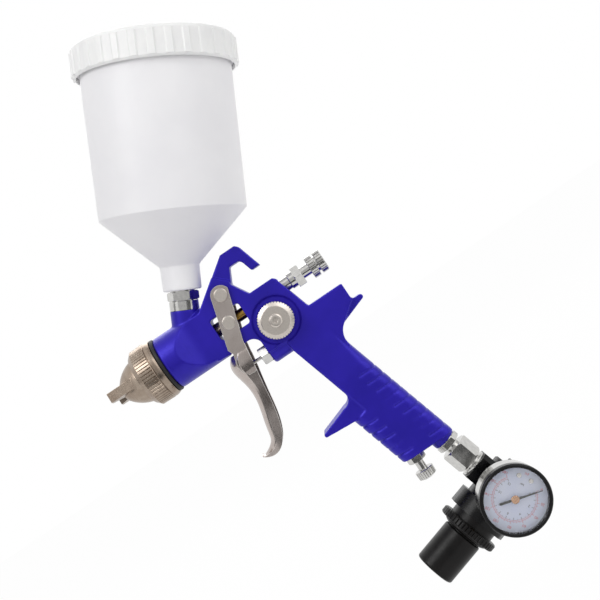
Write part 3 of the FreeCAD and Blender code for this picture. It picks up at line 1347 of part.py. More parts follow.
def build_regulator():
    body = part("regulator_body", REGULATOR)
    turn(body, "X", [
        ("-flange_front", "0"), ("core_back", "0"), ("core_back", "core_radius - 1"),
        ("core_back - 1", "core_radius"), ("-flange_back", "core_radius"),
        ("-flange_back", "flange_radius"), ("-flange_front", "flange_radius"),
    ])
    cut_flats(body, "X", "2 * flange_radius * cos(180 / flange_sides)", "-flange_front - 0.1",
              "-flange_back", "flange_sides")
    ports = sketch_on(body, "XY_Plane", "-port_half")
    w, c = "port_width / 2", "port_chamfer"
    draw(ports, [
        (f"{w} - {c}", f"-{w}"), (w, f"-{w} + {c}"), (w, f"{w} - {c}"), (f"{w} - {c}", w),
        (f"-{w} + {c}", w), (f"-{w}", f"{w} - {c}"), (f"-{w}", f"-{w} + {c}"), (f"-{w} + {c}", f"-{w}"),
    ])
    prism(body, ports, "2 * port_half")
    turn(body, "Y", [
        ("0", "0"), ("gauge_boss_out", "0"), ("gauge_boss_out", "gauge_boss_radius"),
        ("0", "gauge_boss_radius"),
    ])
    turn(body, "X", [
        ("-flange_front - 1", "0"), ("-chamber_floor", "0"), ("-chamber_floor", "chamber_radius"),
        ("-flange_front - 1", "chamber_radius"),
    ], cuts=True)
    turn(body, "X", [
        ("-chamber_floor - 1", "0"), ("core_back + 1", "0"), ("core_back + 1", "plug_thread_radius"),
        ("-2", "plug_thread_radius"), ("-2", "valve_way"), ("-chamber_floor - 1", "valve_way"),
    ], cuts=True)
    turn(body, "Z", [
        ("-port_half - 1", "0"), ("port_half + 1", "0"), ("port_half + 1", "pipe_thread_radius"),
        ("port_half - port_thread_length", "pipe_thread_radius"),
        ("port_half - port_thread_length", "pipe_bore"), ("-port_half + port_thread_length", "pipe_bore"),
        ("-port_half + port_thread_length", "inlet_thread_radius"),
        ("-port_half - 1", "inlet_thread_radius"),
    ], cuts=True)
    hole(body, "Y", "plug_thread_radius - 1", "gauge_boss_out + 1", "gauge_stem_radius")

    turned("bonnet", "X", [
        ("-chamber_floor - diaphragm_thickness - 1", "bonnet_bore"),
        ("-bonnet_tube_end + bonnet_end_wall", "bonnet_bore"),
        ("-bonnet_tube_end + bonnet_end_wall", "adjust_radius + slide_gap"),
        ("-bonnet_tube_end", "adjust_radius + slide_gap"), ("-bonnet_tube_end", "bonnet_tube_radius - 0.5"),
        ("-bonnet_tube_end + 0.5", "bonnet_tube_radius"), ("-bonnet_step - 1", "bonnet_tube_radius"),
        ("-bonnet_step - 1", "bonnet_thread_radius - 2"), ("-bonnet_step", "bonnet_thread_radius"),
        ("-flange_front", "bonnet_thread_radius"), ("-flange_front", "chamber_radius"),
        ("-chamber_floor - diaphragm_thickness - 1", "chamber_radius"),
    ], REGULATOR)
    nut = turned("panel_nut", "X", [
        ("-panel_nut_front - panel_nut_length", "bonnet_thread_radius + slide_gap"),
        ("-panel_nut_front", "bonnet_thread_radius + slide_gap"),
        ("-panel_nut_front", "panel_nut_radius - 0.8"), ("-panel_nut_front - 0.8", "panel_nut_radius"),
        ("-panel_nut_front - panel_nut_length + 0.8", "panel_nut_radius"),
        ("-panel_nut_front - panel_nut_length", "panel_nut_radius - 0.8"),
    ], REGULATOR)
    cut_flutes(nut, "X", "panel_nut_radius", "panel_rib_depth", "-panel_nut_front - panel_nut_length - 0.1",
               "-panel_nut_front + 0.1", "panel_nut_ribs")
    inner = "bonnet_tube_radius + knob_clearance"
    r = "regulator_knob_round"
    turned("regulator_knob", "X", [
        ("-regulator_knob_end", "0"), ("-regulator_knob_end", f"regulator_knob_radius - {r}"),
        (f"-regulator_knob_end + {r} * (1 - cos(45))", f"regulator_knob_radius - {r} * (1 - cos(45))", "arc"),
        (f"-regulator_knob_end + {r}", "regulator_knob_radius"),
        ("-regulator_knob_front - 0.6", "regulator_knob_radius"),
        ("-regulator_knob_front", "regulator_knob_radius - 0.6"), ("-regulator_knob_front", inner),
        ("-bonnet_tube_end - knob_clearance", inner), ("-bonnet_tube_end - knob_clearance", "adjust_radius"),
        ("-regulator_knob_end + 2.4", "adjust_radius"), ("-regulator_knob_end + 2.4", "0"),
    ], REGULATOR)
    rod("adjusting_screw", "X", "-regulator_knob_end + 2.4", "-adjust_front", "adjust_radius", REGULATOR)
    ring("range_spring_seat", "X", "-range_seat_front - range_seat_length", "-range_seat_front",
         "adjust_radius + slide_gap", "bonnet_bore - slide_gap * 2", REGULATOR)
    spring("range_spring", "X", "-range_seat_front", "-chamber_floor - 4 - diaphragm_thickness",
           "range_spring_radius", "range_spring_wire", 6, REGULATOR)
    ring("diaphragm", "X", "-chamber_floor - 1 - diaphragm_thickness", "-chamber_floor - 1", "1",
         "chamber_radius", REGULATOR)
    turned("diaphragm_plate", "X", [
        ("-chamber_floor - 4 - diaphragm_thickness", "0"),
        ("-chamber_floor - 1", "0"), ("-chamber_floor - 1", "1"),
        ("-chamber_floor - 1 - diaphragm_thickness", "1"),
        ("-chamber_floor - 1 - diaphragm_thickness", "diaphragm_plate_radius"),
        ("-chamber_floor - 4 - diaphragm_thickness", "diaphragm_plate_radius"),
    ], REGULATOR)
    rod("regulator_poppet", "X", "-2 + touch_gap", "-2 + regulator_poppet_length",
        "regulator_poppet_radius", REGULATOR)
    spring("poppet_spring", "X", "-2 + regulator_poppet_length", "core_back - 5",
           "poppet_spring_radius", "poppet_spring_wire", 4, REGULATOR)
    plug = turned("valve_plug", "X", [
        ("core_back - 5", "0"), ("core_back + plug_head_length", "0"),
        ("core_back + plug_head_length", "plug_radius - 0.8"),
        ("core_back + plug_head_length - 0.8", "plug_radius"), ("core_back", "plug_radius"),
        ("core_back", "plug_thread_radius"), ("core_back - 5", "plug_thread_radius"),
    ], REGULATOR)
    cut_flats(plug, "X", "plug_radius * 1.8", "core_back", "core_back + plug_head_length + 0.1")


# ---------------------------------------------------------------- pressure gauge

def build_gauge():
    stem = turned("gauge_stem", "Y", [
        ("gauge_boss_out - 7", "0"), ("gauge_back + gauge_wall + 2", "0"),
        ("gauge_back + gauge_wall + 2", "gauge_stem_radius"), ("gauge_back", "gauge_stem_radius"),
        ("gauge_back", "gauge_stem_across / 2 * 1.14"),
        ("gauge_boss_out", "gauge_stem_across / 2 * 1.14"),
        ("gauge_boss_out", "gauge_stem_radius"), ("gauge_boss_out - 7", "gauge_stem_radius"),
    ], REGULATOR)
    cut_flats(stem, "Y", "gauge_stem_across", "gauge_boss_out", "gauge_back")
    turned("gauge_case", "Y", [
        ("gauge_back", "gauge_stem_radius"), ("gauge_back", "gauge_radius - 2.5"),
        ("gauge_back + 0.75", "gauge_radius - 0.75", "arc"), ("gauge_back + 2.5", "gauge_radius"),
        ("gauge_front - bezel_length", "gauge_radius"),
        ("gauge_front - bezel_length", "gauge_radius - gauge_wall"),
        ("gauge_back + gauge_wall + 1.5", "gauge_radius - gauge_wall"),
        ("gauge_back + gauge_wall", "gauge_radius - gauge_wall - 2"),
        ("gauge_back + gauge_wall", "gauge_stem_radius"),
    ], REGULATOR)
    turned("gauge_bezel", "Y", [
        ("gauge_front - bezel_length", "gauge_radius - gauge_wall"),
        ("gauge_front - bezel_length", "bezel_radius"), ("gauge_front - 1.4", "bezel_radius"),
        ("gauge_front - 0.35", "bezel_radius - 0.55", "arc"), ("gauge_front", "bezel_radius - 1.5"),
        ("gauge_front - 0.5", "bezel_opening"), ("gauge_front - 1", "bezel_opening"),
        ("gauge_front - 1", "gauge_radius - gauge_wall"),
    ], REGULATOR)
    rod("gauge_lens", "Y", "gauge_front - 1 - lens_thickness", "gauge_front - 1",
        "gauge_radius - gauge_wall - slide_gap", REGULATOR)
    rod("gauge_dial", "Y", "dial_out - dial_thickness", "dial_out", "dial_radius", REGULATOR)
    dial_screws = part("dial_screws", REGULATOR)
    screws = sketch_on(dial_screws, "XZ_Plane", "dial_out")
    for bearing in ("dial_screw_bearing", "dial_screw_bearing + dial_screw_spread"):
        draw_circle(screws, f"dial_screw_circle * cos({bearing})", f"dial_screw_circle * sin({bearing})",
                    "dial_screw_radius")
    prism(dial_screws, screws, "0.9")
    build_pointer()


def build_pointer():
    pointer = part("gauge_pointer", REGULATOR)
    face = "dial_out + pointer_gap"
    sketch = sketch_on(pointer, "XZ_Plane", face)
    sketch.AttachmentOffset = FreeCAD.Placement(
        FreeCAD.Vector(0, 0, size(face)), turned_about((0, 0, 1), size("pointer_zero")))
    draw(sketch, [
        ("-pointer_tail", "-pointer_width / 2"), ("0", "-pointer_width / 2"),
        ("pointer_length", "-0.2"), ("pointer_length", "0.2"),
        ("0", "pointer_width / 2"), ("-pointer_tail", "pointer_width / 2"),
    ])
    prism(pointer, sketch, "pointer_thickness")
    turn(pointer, "Y", [
        ("dial_out + slide_gap", "0"), (f"{face} + pointer_thickness + 0.5", "0"),
        (f"{face} + pointer_thickness + 0.5", "pointer_hub - 0.4"),
        (f"{face} + pointer_thickness", "pointer_hub"), (face, "pointer_hub"),
        (face, "0.8"), ("dial_out + slide_gap", "0.8"),
    ])


# ---------------------------------------------------------------- cup, lid and adapter

def build_cup():
    adapter = turned("cup_adapter", "Z", [
        ("boss_top - adapter_thread_depth", "port_bore"),
        ("boss_top - adapter_thread_depth", "adapter_thread_radius"), ("boss_top", "adapter_thread_radius"),
        ("boss_top", "boss_radius"), ("collar_top - 0.4", "boss_radius"),
        ("collar_top", "boss_radius - 0.5"), ("collar_top", "adapter_hex_across / 2 + 0.2"),
        ("collar_top + 0.7", "adapter_hex_across / 2 * 1.14"),
        ("adapter_hex_top - 0.7", "adapter_hex_across / 2 * 1.14"),
        ("adapter_hex_top", "adapter_hex_across / 2 + 0.2"), ("adapter_hex_top", "adapter_top_radius"),
        ("adapter_top", "adapter_top_radius"), ("adapter_top", "port_bore"),
    ], CUP)
    cut_flats(adapter, "Z", "adapter_hex_across", "collar_top", "adapter_hex_top + 0.1")

    turned("cup", "Z", [
        ("cup_neck_low", "adapter_top_radius"), ("cup_neck_low", "cup_neck_radius - 1.4"),
        ("cup_neck_low + 0.4", "cup_neck_radius - 0.4", "arc"),
        ("cup_neck_low + 1.4", "cup_neck_radius"),
        ("cup_neck_top", "cup_neck_radius + 0.3"), ("cup_shoulder", "cup_low_radius"),
        ("lid_low - 1", "cup_rim_radius"),
        ("cup_rim - cup_thread_height", "cup_rim_radius + 0.1"),
        ("cup_rim - cup_thread_height", "cup_rim_radius + cup_thread_stand"),
        ("cup_rim - 2", "cup_rim_radius + cup_thread_stand"), ("cup_rim - 2", "cup_rim_radius + 0.1"),
        ("cup_rim", "cup_rim_radius + 0.1"), ("cup_rim", "cup_rim_radius - cup_wall"),
        ("cup_shoulder + 0.8", "cup_low_radius - cup_wall"),
        ("adapter_top + 4", "adapter_top_radius"),
    ], CUP)
    turned("cup_strainer", "Z", [
        ("adapter_top + touch_gap", "strainer_radius - strainer_wall"),
        ("adapter_top + touch_gap", "adapter_top_radius - slide_gap"),
        ("adapter_top + 1.2", "adapter_top_radius - slide_gap"), ("adapter_top + 1.2", "strainer_radius"),
        ("adapter_top + strainer_height", "strainer_radius - 2"), ("adapter_top + strainer_height", "0"),
        ("adapter_top + strainer_height - strainer_wall", "0"),
        ("adapter_top + strainer_height - strainer_wall", "strainer_radius - 2 - strainer_wall"),
    ], CUP)
    build_lid()


def build_lid():
    """A screw lid with a fluted skirt, a sealing ring under its top and a vented drip plug."""
    lid = part("lid", CUP)
    skirt = "lid_radius - lid_rib_height"
    seal_top = "lid_top - lid_wall"
    turn(lid, "Z", [
        ("lid_low", "cup_rim_radius + cup_thread_stand + knob_clearance"),
        ("lid_low", f"{skirt} - 1.2"), ("lid_low + 1.2", skirt),
        ("lid_top - lid_corner", skirt),
        ("lid_top - lid_corner * (1 - cos(45))", f"{skirt} - lid_corner * (1 - cos(45))", "arc"),
        ("lid_top", f"{skirt} - lid_corner"), ("lid_top", "vent_bore + 2"), (seal_top, "vent_bore + 2"),
        (seal_top, "cup_rim_radius + cup_thread_stand + knob_clearance"),
    ])
    rib = sketch_on(lid, "XY_Plane", "lid_low + 1.2")
    draw(rib, [
        (f"{skirt} - 0.6", "-lid_rib_width / 2"), ("lid_radius", "-lid_rib_width / 2 + lid_rib_height"),
        ("lid_radius", "lid_rib_width / 2 - lid_rib_height"), (f"{skirt} - 0.6", "lid_rib_width / 2"),
    ])
    one = prism(lid, rib, "lid_top - lid_corner - lid_low - 1.2")
    around(lid, rib, one, "lid_ribs", cuts=False)
    ring("lid_seal", "Z", "cup_rim + touch_gap", f"{seal_top} - touch_gap", "cup_rim_radius - 5",
         "cup_rim_radius + cup_thread_stand", CUP)
    turned("lid_vent", "Z", [
        (f"{seal_top} - 3", "vent_bore"), (f"{seal_top} - 3", "vent_bore + 2"), ("lid_top", "vent_bore + 2"),
        ("lid_top", "vent_radius"), ("lid_top + vent_height - 1", "vent_radius"),
        ("lid_top + vent_height", "vent_radius - 1"), ("lid_top + vent_height", "1"),
        ("lid_top + vent_height - 1.2", "1"), ("lid_top + vent_height - 1.2", "vent_bore"),
    ], CUP)


# ---------------------------------------------------------------- build, check and write

build_gun_body()
build_front()
build_needle()
build_trigger()
build_air_valve()
build_pattern_valve()
build_air_screw()
build_inlet()
build_regulator()
build_gauge()
build_cup()
doc.recompute()

for made in doc.Objects:
    if "Invalid" in made.State or "Error" in made.State:
        raise RuntimeError(f"{made.Label} failed: {made.State}")
for made in PARTS:
    if made.Shape.isNull() or not made.Shape.isValid() or made.Shape.Volume <= 0:
        raise RuntimeError(f"{made.Label} has no valid shape")

os.makedirs("parts", exist_ok=True)
for made in PARTS:
    made.Shape.exportStep(f"parts/{made.Label}.step")
print(f"{len(PARTS)} sub-parts written")
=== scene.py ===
"""A gravity fed spray gun with a pressure regulator: finishes, small parts, light and camera."""
import json
import math

import bmesh
import bpy
from mathutils import Matrix, Vector

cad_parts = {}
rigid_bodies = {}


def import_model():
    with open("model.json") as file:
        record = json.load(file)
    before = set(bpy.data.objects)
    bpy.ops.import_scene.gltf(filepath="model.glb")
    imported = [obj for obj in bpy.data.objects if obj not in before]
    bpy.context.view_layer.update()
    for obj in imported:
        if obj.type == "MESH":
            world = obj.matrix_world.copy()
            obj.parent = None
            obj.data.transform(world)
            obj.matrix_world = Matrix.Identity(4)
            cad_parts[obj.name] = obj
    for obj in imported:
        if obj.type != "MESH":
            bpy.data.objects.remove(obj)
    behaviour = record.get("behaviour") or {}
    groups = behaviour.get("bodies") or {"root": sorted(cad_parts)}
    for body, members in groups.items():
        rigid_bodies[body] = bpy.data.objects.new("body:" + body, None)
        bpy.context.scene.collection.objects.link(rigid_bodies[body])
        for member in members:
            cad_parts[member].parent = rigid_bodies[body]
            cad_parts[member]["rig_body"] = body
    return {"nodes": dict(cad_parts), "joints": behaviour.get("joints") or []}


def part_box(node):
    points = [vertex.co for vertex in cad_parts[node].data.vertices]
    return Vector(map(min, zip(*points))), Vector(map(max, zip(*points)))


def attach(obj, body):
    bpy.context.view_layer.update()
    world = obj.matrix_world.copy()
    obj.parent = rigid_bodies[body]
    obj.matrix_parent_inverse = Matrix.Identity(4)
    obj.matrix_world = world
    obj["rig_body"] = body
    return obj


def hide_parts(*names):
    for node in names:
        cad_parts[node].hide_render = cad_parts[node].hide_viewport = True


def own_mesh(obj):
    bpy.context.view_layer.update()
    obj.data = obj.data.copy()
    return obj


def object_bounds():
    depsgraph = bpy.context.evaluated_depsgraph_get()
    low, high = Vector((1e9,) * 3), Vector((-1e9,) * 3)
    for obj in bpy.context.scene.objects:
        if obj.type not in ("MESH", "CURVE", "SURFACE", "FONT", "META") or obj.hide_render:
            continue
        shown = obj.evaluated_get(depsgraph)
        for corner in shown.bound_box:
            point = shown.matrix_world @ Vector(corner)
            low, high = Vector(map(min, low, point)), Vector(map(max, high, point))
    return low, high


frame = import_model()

MM = 0.001
NODES = frame["nodes"]
JOINTS = {joint["name"]: joint for joint in frame["joints"]}
WELD = 0.001 * MM
FLAT_ANGLE = math.radians(0.5)
EDGE_ANGLE = math.radians(32)
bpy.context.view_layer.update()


# ------------------------------------------------------------ making and finishing pieces

def choose(piece):
    """Makes one piece the only one that operators act on."""
    bpy.ops.object.select_all(action="DESELECT")
    piece.select_set(True)
    bpy.context.view_layer.objects.active = piece


def modify(piece, kind, **settings):
    """Adds a modifier, sets it and applies it."""
    choose(piece)
    bpy.ops.object.modifier_add(type=kind)
    modifier = piece.modifiers[-1]
    for option, value in settings.items():
        setattr(modifier, option, value)
    bpy.ops.object.modifier_apply(modifier=modifier.name)


def place_new(name, data):
    """Puts a mesh, a lamp or a camera into the scene as an object."""
    piece = bpy.data.objects.new(name, data)
    bpy.context.scene.collection.objects.link(piece)
    return piece


def made_from(name, mesh):
    """Turns a finished bmesh into an object with its faces outward."""
    bmesh.ops.recalc_face_normals(mesh, faces=mesh.faces)
    data = bpy.data.meshes.new(name)
    mesh.to_mesh(data)
    mesh.free()
    return place_new(name, data)


def skin_of(node):
    """A copy of a frame piece with its loose triangles joined into one skin."""
    piece = place_new(node + "_finished", NODES[node].data.copy())
    piece.data.materials.clear()
    choose(piece)
    if piece.data.has_custom_normals:
        bpy.ops.mesh.customdata_custom_splitnormals_clear()
    bpy.ops.object.mode_set(mode="EDIT")
    bpy.ops.mesh.select_all(action="SELECT")
    bpy.ops.mesh.remove_doubles(threshold=WELD)
    bpy.ops.mesh.dissolve_limited(angle_limit=FLAT_ANGLE)
    bpy.ops.object.mode_set(mode="OBJECT")
    return piece


def shade(piece, angle):
    """Smooth over the curves, with a crease where faces meet at more than the angle."""
    choose(piece)
    bpy.ops.object.shade_smooth_by_angle(angle=math.radians(angle))


def seat(piece, node, finish):
    """Gives a finished piece its material and the body that its frame piece rides on."""
    piece.data.materials.clear()
    piece.data.materials.append(finish)
    for face in piece.data.polygons:
        face.material_index = 0
    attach(piece, NODES[node]["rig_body"])


def stand_in(piece, node, finish=None):
    """Seats a piece that is shown instead of its frame piece."""
    seat(piece, node, finish or FINISHES[SLOTS[node]])
    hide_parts(node)


# ------------------------------------------------------------ finishes

NOISE_LOW, NOISE_HIGH = 0.3, 0.7  # nearly all of a noise pattern lies between these
EVENLY = (1.0, 1.0, 1.0)          # light soaks in alike in red, green and blue

def linear(part):
    """One sRGB channel, from 0 to 1, as the linear value that a shader takes."""
    return part / 12.92 if part <= 0.04045 else ((part + 0.055) / 1.055) ** 2.4


def colour(code):
    """A hex sRGB colour as a shader's colour."""
    return tuple(linear(int(code[i:i + 2], 16) / 255) for i in (1, 3, 5)) + (1.0,)


def add(tree, kind, sockets=None, **settings):
    """Adds a node: its settings, then its sockets, each a value or an output to link."""
    made = tree.nodes.new("ShaderNode" + kind)
    for option, value in settings.items():
        setattr(made, option, value)
    for socket, value in (sockets or {}).items():
        if isinstance(value, bpy.types.NodeSocket):
            tree.links.new(value, made.inputs[socket])
        else:
            made.inputs[socket].default_value = value
    return made


def finish_named(name, **sockets):
    """A new material: its shader's plain values are set on the shader's own sockets."""
    made = bpy.data.materials.new(name)
    made.use_nodes = True
    shader = made.node_tree.nodes["Principled BSDF"]
    for socket, value in sockets.items():
        shader.inputs[socket.replace("_", " ")].default_value = value
    return made, made.node_tree, shader


def per_mm(size):
    """The scale at which a pattern repeats about every size millimetres."""
    return 1000 / size


def blotches(tree, size, detail=3.0, stretch=(1, 1, 1)):
    """Soft noise about size millimetres across, on the piece's own coordinates."""
    place = add(tree, "TexCoord").outputs["Object"]
    if stretch != (1, 1, 1):
        place = add(tree, "Mapping", {"Vector": place, "Scale": stretch}).outputs[0]
    noise = {"Vector": place, "Scale": per_mm(size), "Detail": detail}
    return add(tree, "TexNoise", noise).outputs["Fac"]


def spread(tree, pattern, low, high):
    """Turns a noise pattern into values from low to high."""
    return add(tree, "MapRange", {"Value": pattern, "From Min": NOISE_LOW, "From Max": NOISE_HIGH,
                                  "To Min": low, "To Max": high}).outputs[0]


def between(tree, pattern, first, second):
    """Blends two colours by a noise pattern."""
    ramp = add(tree, "ValToRGB", {"Fac": pattern})
    ends = ((NOISE_LOW, first), (NOISE_HIGH, second))
    for stop, (place, code) in zip(ramp.color_ramp.elements, ends):
        stop.position = place
        stop.color = colour(code)
    return ramp.outputs[0]


def relief(tree, shader, height, depth):
    """Bumps the surface by a pattern, depth millimetres from low to high."""
    bump = add(tree, "Bump", {"Height": height, "Distance": depth * MM, "Strength": 1.0})
    tree.links.new(bump.outputs[0], shader.inputs["Normal"])


def painted_edge_highlight(tree, first, second, reach):
    """Blends from one colour to another at the edges, a painted highlight: reach is in
    millimetres.
    """
    rounded = add(tree, "Bevel", {"Radius": reach * MM}, samples=4).outputs[0]
    plain = add(tree, "NewGeometry").outputs["Normal"]
    agree = add(tree, "VectorMath", {0: rounded, 1: plain}, operation="DOT_PRODUCT")
    # the two normals agree on a flat face and part by an edge, where the painted highlight is
    # full at 0.9
    edge_share = add(tree, "MapRange", {"Value": agree.outputs["Value"], "From Min": 0.995,
                                    "From Max": 0.9}).outputs[0]
    return add(tree, "Mix", {0: edge_share, 6: first, 7: second}, data_type="RGBA").outputs[2]


def metal(name, low, high, gloss, size, depth, stretch=(1, 1, 1)):
    """A bare or plated metal: two close tones, a gloss that varies and its making's marks."""
    made, tree, shader = finish_named(name, Metallic=1.0)
    marks = blotches(tree, size, 4.0, stretch=stretch)
    smears = spread(tree, blotches(tree, 4 * size), gloss - 0.04, gloss + 0.05)
    tree.links.new(between(tree, marks, low, high), shader.inputs["Base Color"])
    tree.links.new(smears, shader.inputs["Roughness"])
    relief(tree, shader, marks, depth)
    return made


def blue_anodised_aluminium():
    # cast, blasted and dyed: an even deep blue, a soft gloss, and edges made paler by a painted
    # highlight
    made, tree, shader = finish_named("blue_anodised_aluminium", Metallic=0.4, Coat_Weight=0.08,
                                      Coat_Roughness=0.25, Specular_IOR_Level=0.35)
    dye = between(tree, blotches(tree, 22), "#1f0f9f", "#2614ab")
    # a painted highlight makes the edges a paler blue
    lit_edges = painted_edge_highlight(tree, dye, colour("#5248d0"), 0.5)
    tree.links.new(lit_edges, shader.inputs["Base Color"])
    tree.links.new(spread(tree, blotches(tree, 1.6), 0.36, 0.46), shader.inputs["Roughness"])
    relief(tree, shader, blotches(tree, 2.4, 4.0), 0.02)
    return made


def polished_chrome():
    # chrome plate over turned steel: bright, with faint smears that soften it
    return metal("polished_chrome_plate", "#bfbebc", "#cfcecb", 0.15, 2.4, 0.0012)


def satin_chrome():
    # chrome over a face that was only turned, so it is duller and warmer than the polished parts
    return metal("satin_chrome_plate", "#cbc3bb", "#d6cfc7", 0.33, 0.9, 0.003)


def satin_nickel():
    # nickel plate, warmer than chrome, with turning marks round the spray axis
    made, tree, shader = finish_named("satin_nickel_plate", Metallic=1.0)
    plate = between(tree, blotches(tree, 6), "#948476", "#a89a8c")
    tree.links.new(plate, shader.inputs["Base Color"])
    tree.links.new(spread(tree, blotches(tree, 2), 0.24, 0.32), shader.inputs["Roughness"])
    # a wave texture repeats 20 / tau times in one unit of its scaled place, here every 2.2 mm
    place = add(tree, "TexCoord").outputs["Object"]
    rings = add(tree, "TexWave", {"Vector": place, "Scale": per_mm(7), "Distortion": 0.6,
                                  "Detail": 2.0}, wave_type="BANDS", bands_direction="X")
    relief(tree, shader, rings.outputs["Fac"], 0.0015)
    return made


def brushed_steel():
    # pressed steel, ground and polished along its length: warm grey, and edges made brighter by a
    # painted highlight
    made, tree, shader = finish_named("brushed_pressed_steel", Metallic=1.0)
    strokes = blotches(tree, 0.5, 3.0, stretch=(1, 1, 0.05))
    face = between(tree, blotches(tree, 14), "#b3a9a4", "#c2b9b4")
    # a painted highlight makes the edges near white
    lit_edges = painted_edge_highlight(tree, face, colour("#f0ece8"), 0.6)
    tree.links.new(lit_edges, shader.inputs["Base Color"])
    tree.links.new(spread(tree, strokes, 0.22, 0.26), shader.inputs["Roughness"])
    relief(tree, shader, strokes, 0.0003)
    return made


def milky_polyethylene():
    # blow moulded polyethylene, milky and waxy: light soaks in a little way
    made, tree, shader = finish_named("milky_polyethylene", IOR=1.5, Subsurface_Weight=0.2,
                                      Subsurface_Scale=3 * MM, Subsurface_Radius=EVENLY)
    milk = between(tree, blotches(tree, 40), "#e8e7ea", "#eeedef")
    tree.links.new(milk, shader.inputs["Base Color"])
    tree.links.new(spread(tree, blotches(tree, 6), 0.36, 0.46), shader.inputs["Roughness"])
    relief(tree, shader, blotches(tree, 9, 2.0), 0.08)
    return made


def moulded_plastic(name, low, high, gloss, grain, depth, **sockets):
    # injection moulded: an even colour with the fine grain that the mould leaves
    made, tree, shader = finish_named(name, IOR=1.5, **sockets)
    sheen = spread(tree, blotches(tree, 3), gloss - 0.05, gloss + 0.05)
    tree.links.new(between(tree, blotches(tree, 12), low, high), shader.inputs["Base Color"])
    tree.links.new(sheen, shader.inputs["Roughness"])
    relief(tree, shader, blotches(tree, grain, 2.0), depth)
    return made


def clear_polycarbonate():
    # the gauge's window: clear and glossy, with a trace of polish swirl
    made, tree, shader = finish_named("clear_polycarbonate", IOR=1.49, Transmission_Weight=1.0,
                                      Base_Color=colour("#ffffff"))
    tree.links.new(spread(tree, blotches(tree, 4), 0.0, 0.03), shader.inputs["Roughness"])
    return made


def printing_ink(name, low, high):
    # ink on tinplate: thin, a little uneven, matt beside the lacquered dial
    return moulded_plastic(name, low, high, 0.6, 0.3, 0.001)


FINISHES = {
    "anodised_blue": blue_anodised_aluminium(),
    "chrome": polished_chrome(),
    "nickel": satin_nickel(),
    "steel": metal("machined_steel", "#b4b2af", "#c6c4c1", 0.28, 1.0, 0.004, (0.2, 1, 1)),
    "spring_steel": metal("spring_steel_wire", "#8e8d8b", "#a9a8a5", 0.24, 0.8, 0.003),
    "brass": metal("turned_brass", "#a9823a", "#c39c50", 0.27, 1.2, 0.004),
    "clear_white_plastic": milky_polyethylene(),
    "white_plastic": moulded_plastic(
        "white_polypropylene", "#ebebeb", "#f0f0ef", 0.4, 0.8, 0.01,
        Subsurface_Weight=0.25, Subsurface_Scale=3 * MM, Subsurface_Radius=EVENLY),
    "black_rubber": moulded_plastic(
        "black_nitrile_rubber", "#0b0b0b", "#141414", 0.6, 0.6, 0.01),
    "black_plastic": moulded_plastic(
        "black_moulded_nylon", "#080707", "#121010", 0.34, 0.5, 0.01, Specular_IOR_Level=0.2),
    "black_paint": moulded_plastic(
        "black_satin_enamel", "#050506", "#0b0b0d", 0.26, 1.5, 0.004,
        Specular_IOR_Level=0.2, Coat_Weight=0.03, Coat_Roughness=0.12),
    "clear_lens": clear_polycarbonate(),
    "dial_white": moulded_plastic(
        "white_lacquered_tinplate", "#d9dff6", "#e2e7f8", 0.35, 1.0, 0.002),
    "pointer_black": moulded_plastic(
        "black_lacquered_sheet", "#050505", "#0e0e0e", 0.35, 0.8, 0.003),
    "seal_plastic": moulded_plastic(
        "white_sealing_plastic", "#dedcd7", "#e8e6e1", 0.45, 0.8, 0.008),
}
RED_INK = printing_ink("red_printing_ink", "#d0495c", "#dc5f6f")
BLACK_INK = printing_ink("black_printing_ink", "#20202a", "#34343e")
COPPER = metal("copper_washed_brass", "#a98063", "#bd9878", 0.26, 0.6, 0.003)
SATIN_CHROME = satin_chrome()
TRIGGER_STEEL = brushed_steel()

SLOTS = {}
for label, node in NODES.items():
    SLOTS[label] = node.material_slots[0].material.name
    node.material_slots[0].material = FINISHES[SLOTS[label]]


# ------------------------------------------------------------ frame pieces with real edges

# the width of each piece's edge rounds, in millimetres
ROUNDS = {
    "fluid_nozzle": 0.1, "air_cap": 0.25, "cap_ring": 0.2, "body_seal_ring": 0.3,
    "trigger_pivot_screw": 0.15, "packing_gland": 0.15, "needle_collar": 0.15,
    "spring_housing": 0.25, "fluid_knob": 0.2, "fluid_lock_ring": 0.2, "air_valve_gland": 0.25,
    "air_valve_stem": 0.15, "pattern_gland": 0.15, "air_screw": 0.2, "air_screw_gland": 0.2,
    "cup_adapter": 0.25, "inlet_nipple": 0.25, "swivel_nut": 0.3, "regulator_stub": 0.2,
    "regulator_body": 0.4, "bonnet": 0.3, "panel_nut": 0.3, "regulator_knob": 0.4,
    "valve_plug": 0.3, "gauge_stem": 0.2, "gauge_case": 0.3, "gauge_bezel": 0.3,
    "dial_screws": 0.1, "gauge_pointer": 0.05, "lid": 0.5, "lid_vent": 0.3,
    "trigger": 0.45, "trigger_cross_pin": 0.2, "trigger_pivot_pin": 0.2, "pattern_knob": 0.2,
    "pattern_knob_screw": 0.15, "cup": 0.6,
}
# pieces whose finish differs from what their material slot would give
OWN_FINISHES = {
    "trigger": TRIGGER_STEEL, "trigger_cross_pin": SATIN_CHROME,
    "trigger_pivot_pin": SATIN_CHROME, "pattern_knob": SATIN_CHROME,
    "pattern_knob_screw": SATIN_CHROME,
}
CREASE = 35      # degrees between faces that still read as one curve
CUP_CREASE = 50  # the cup's cone meets its wall in a soft bend
CAST_VOXEL, QUICK_VOXEL = 0.55 * MM, 0.9 * MM
CAST_TRIANGLES = 190000
# the driver's cross: half its span, half an arm's width, its depth, and its turn in degrees
CROSS_ARM, CROSS_HALF, CROSS_DEPTH, CROSS_TURN = 1.3 * MM, 0.3 * MM, 0.9 * MM, 20


def middle_of(node):
    low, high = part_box(node)
    return (low + high) / 2


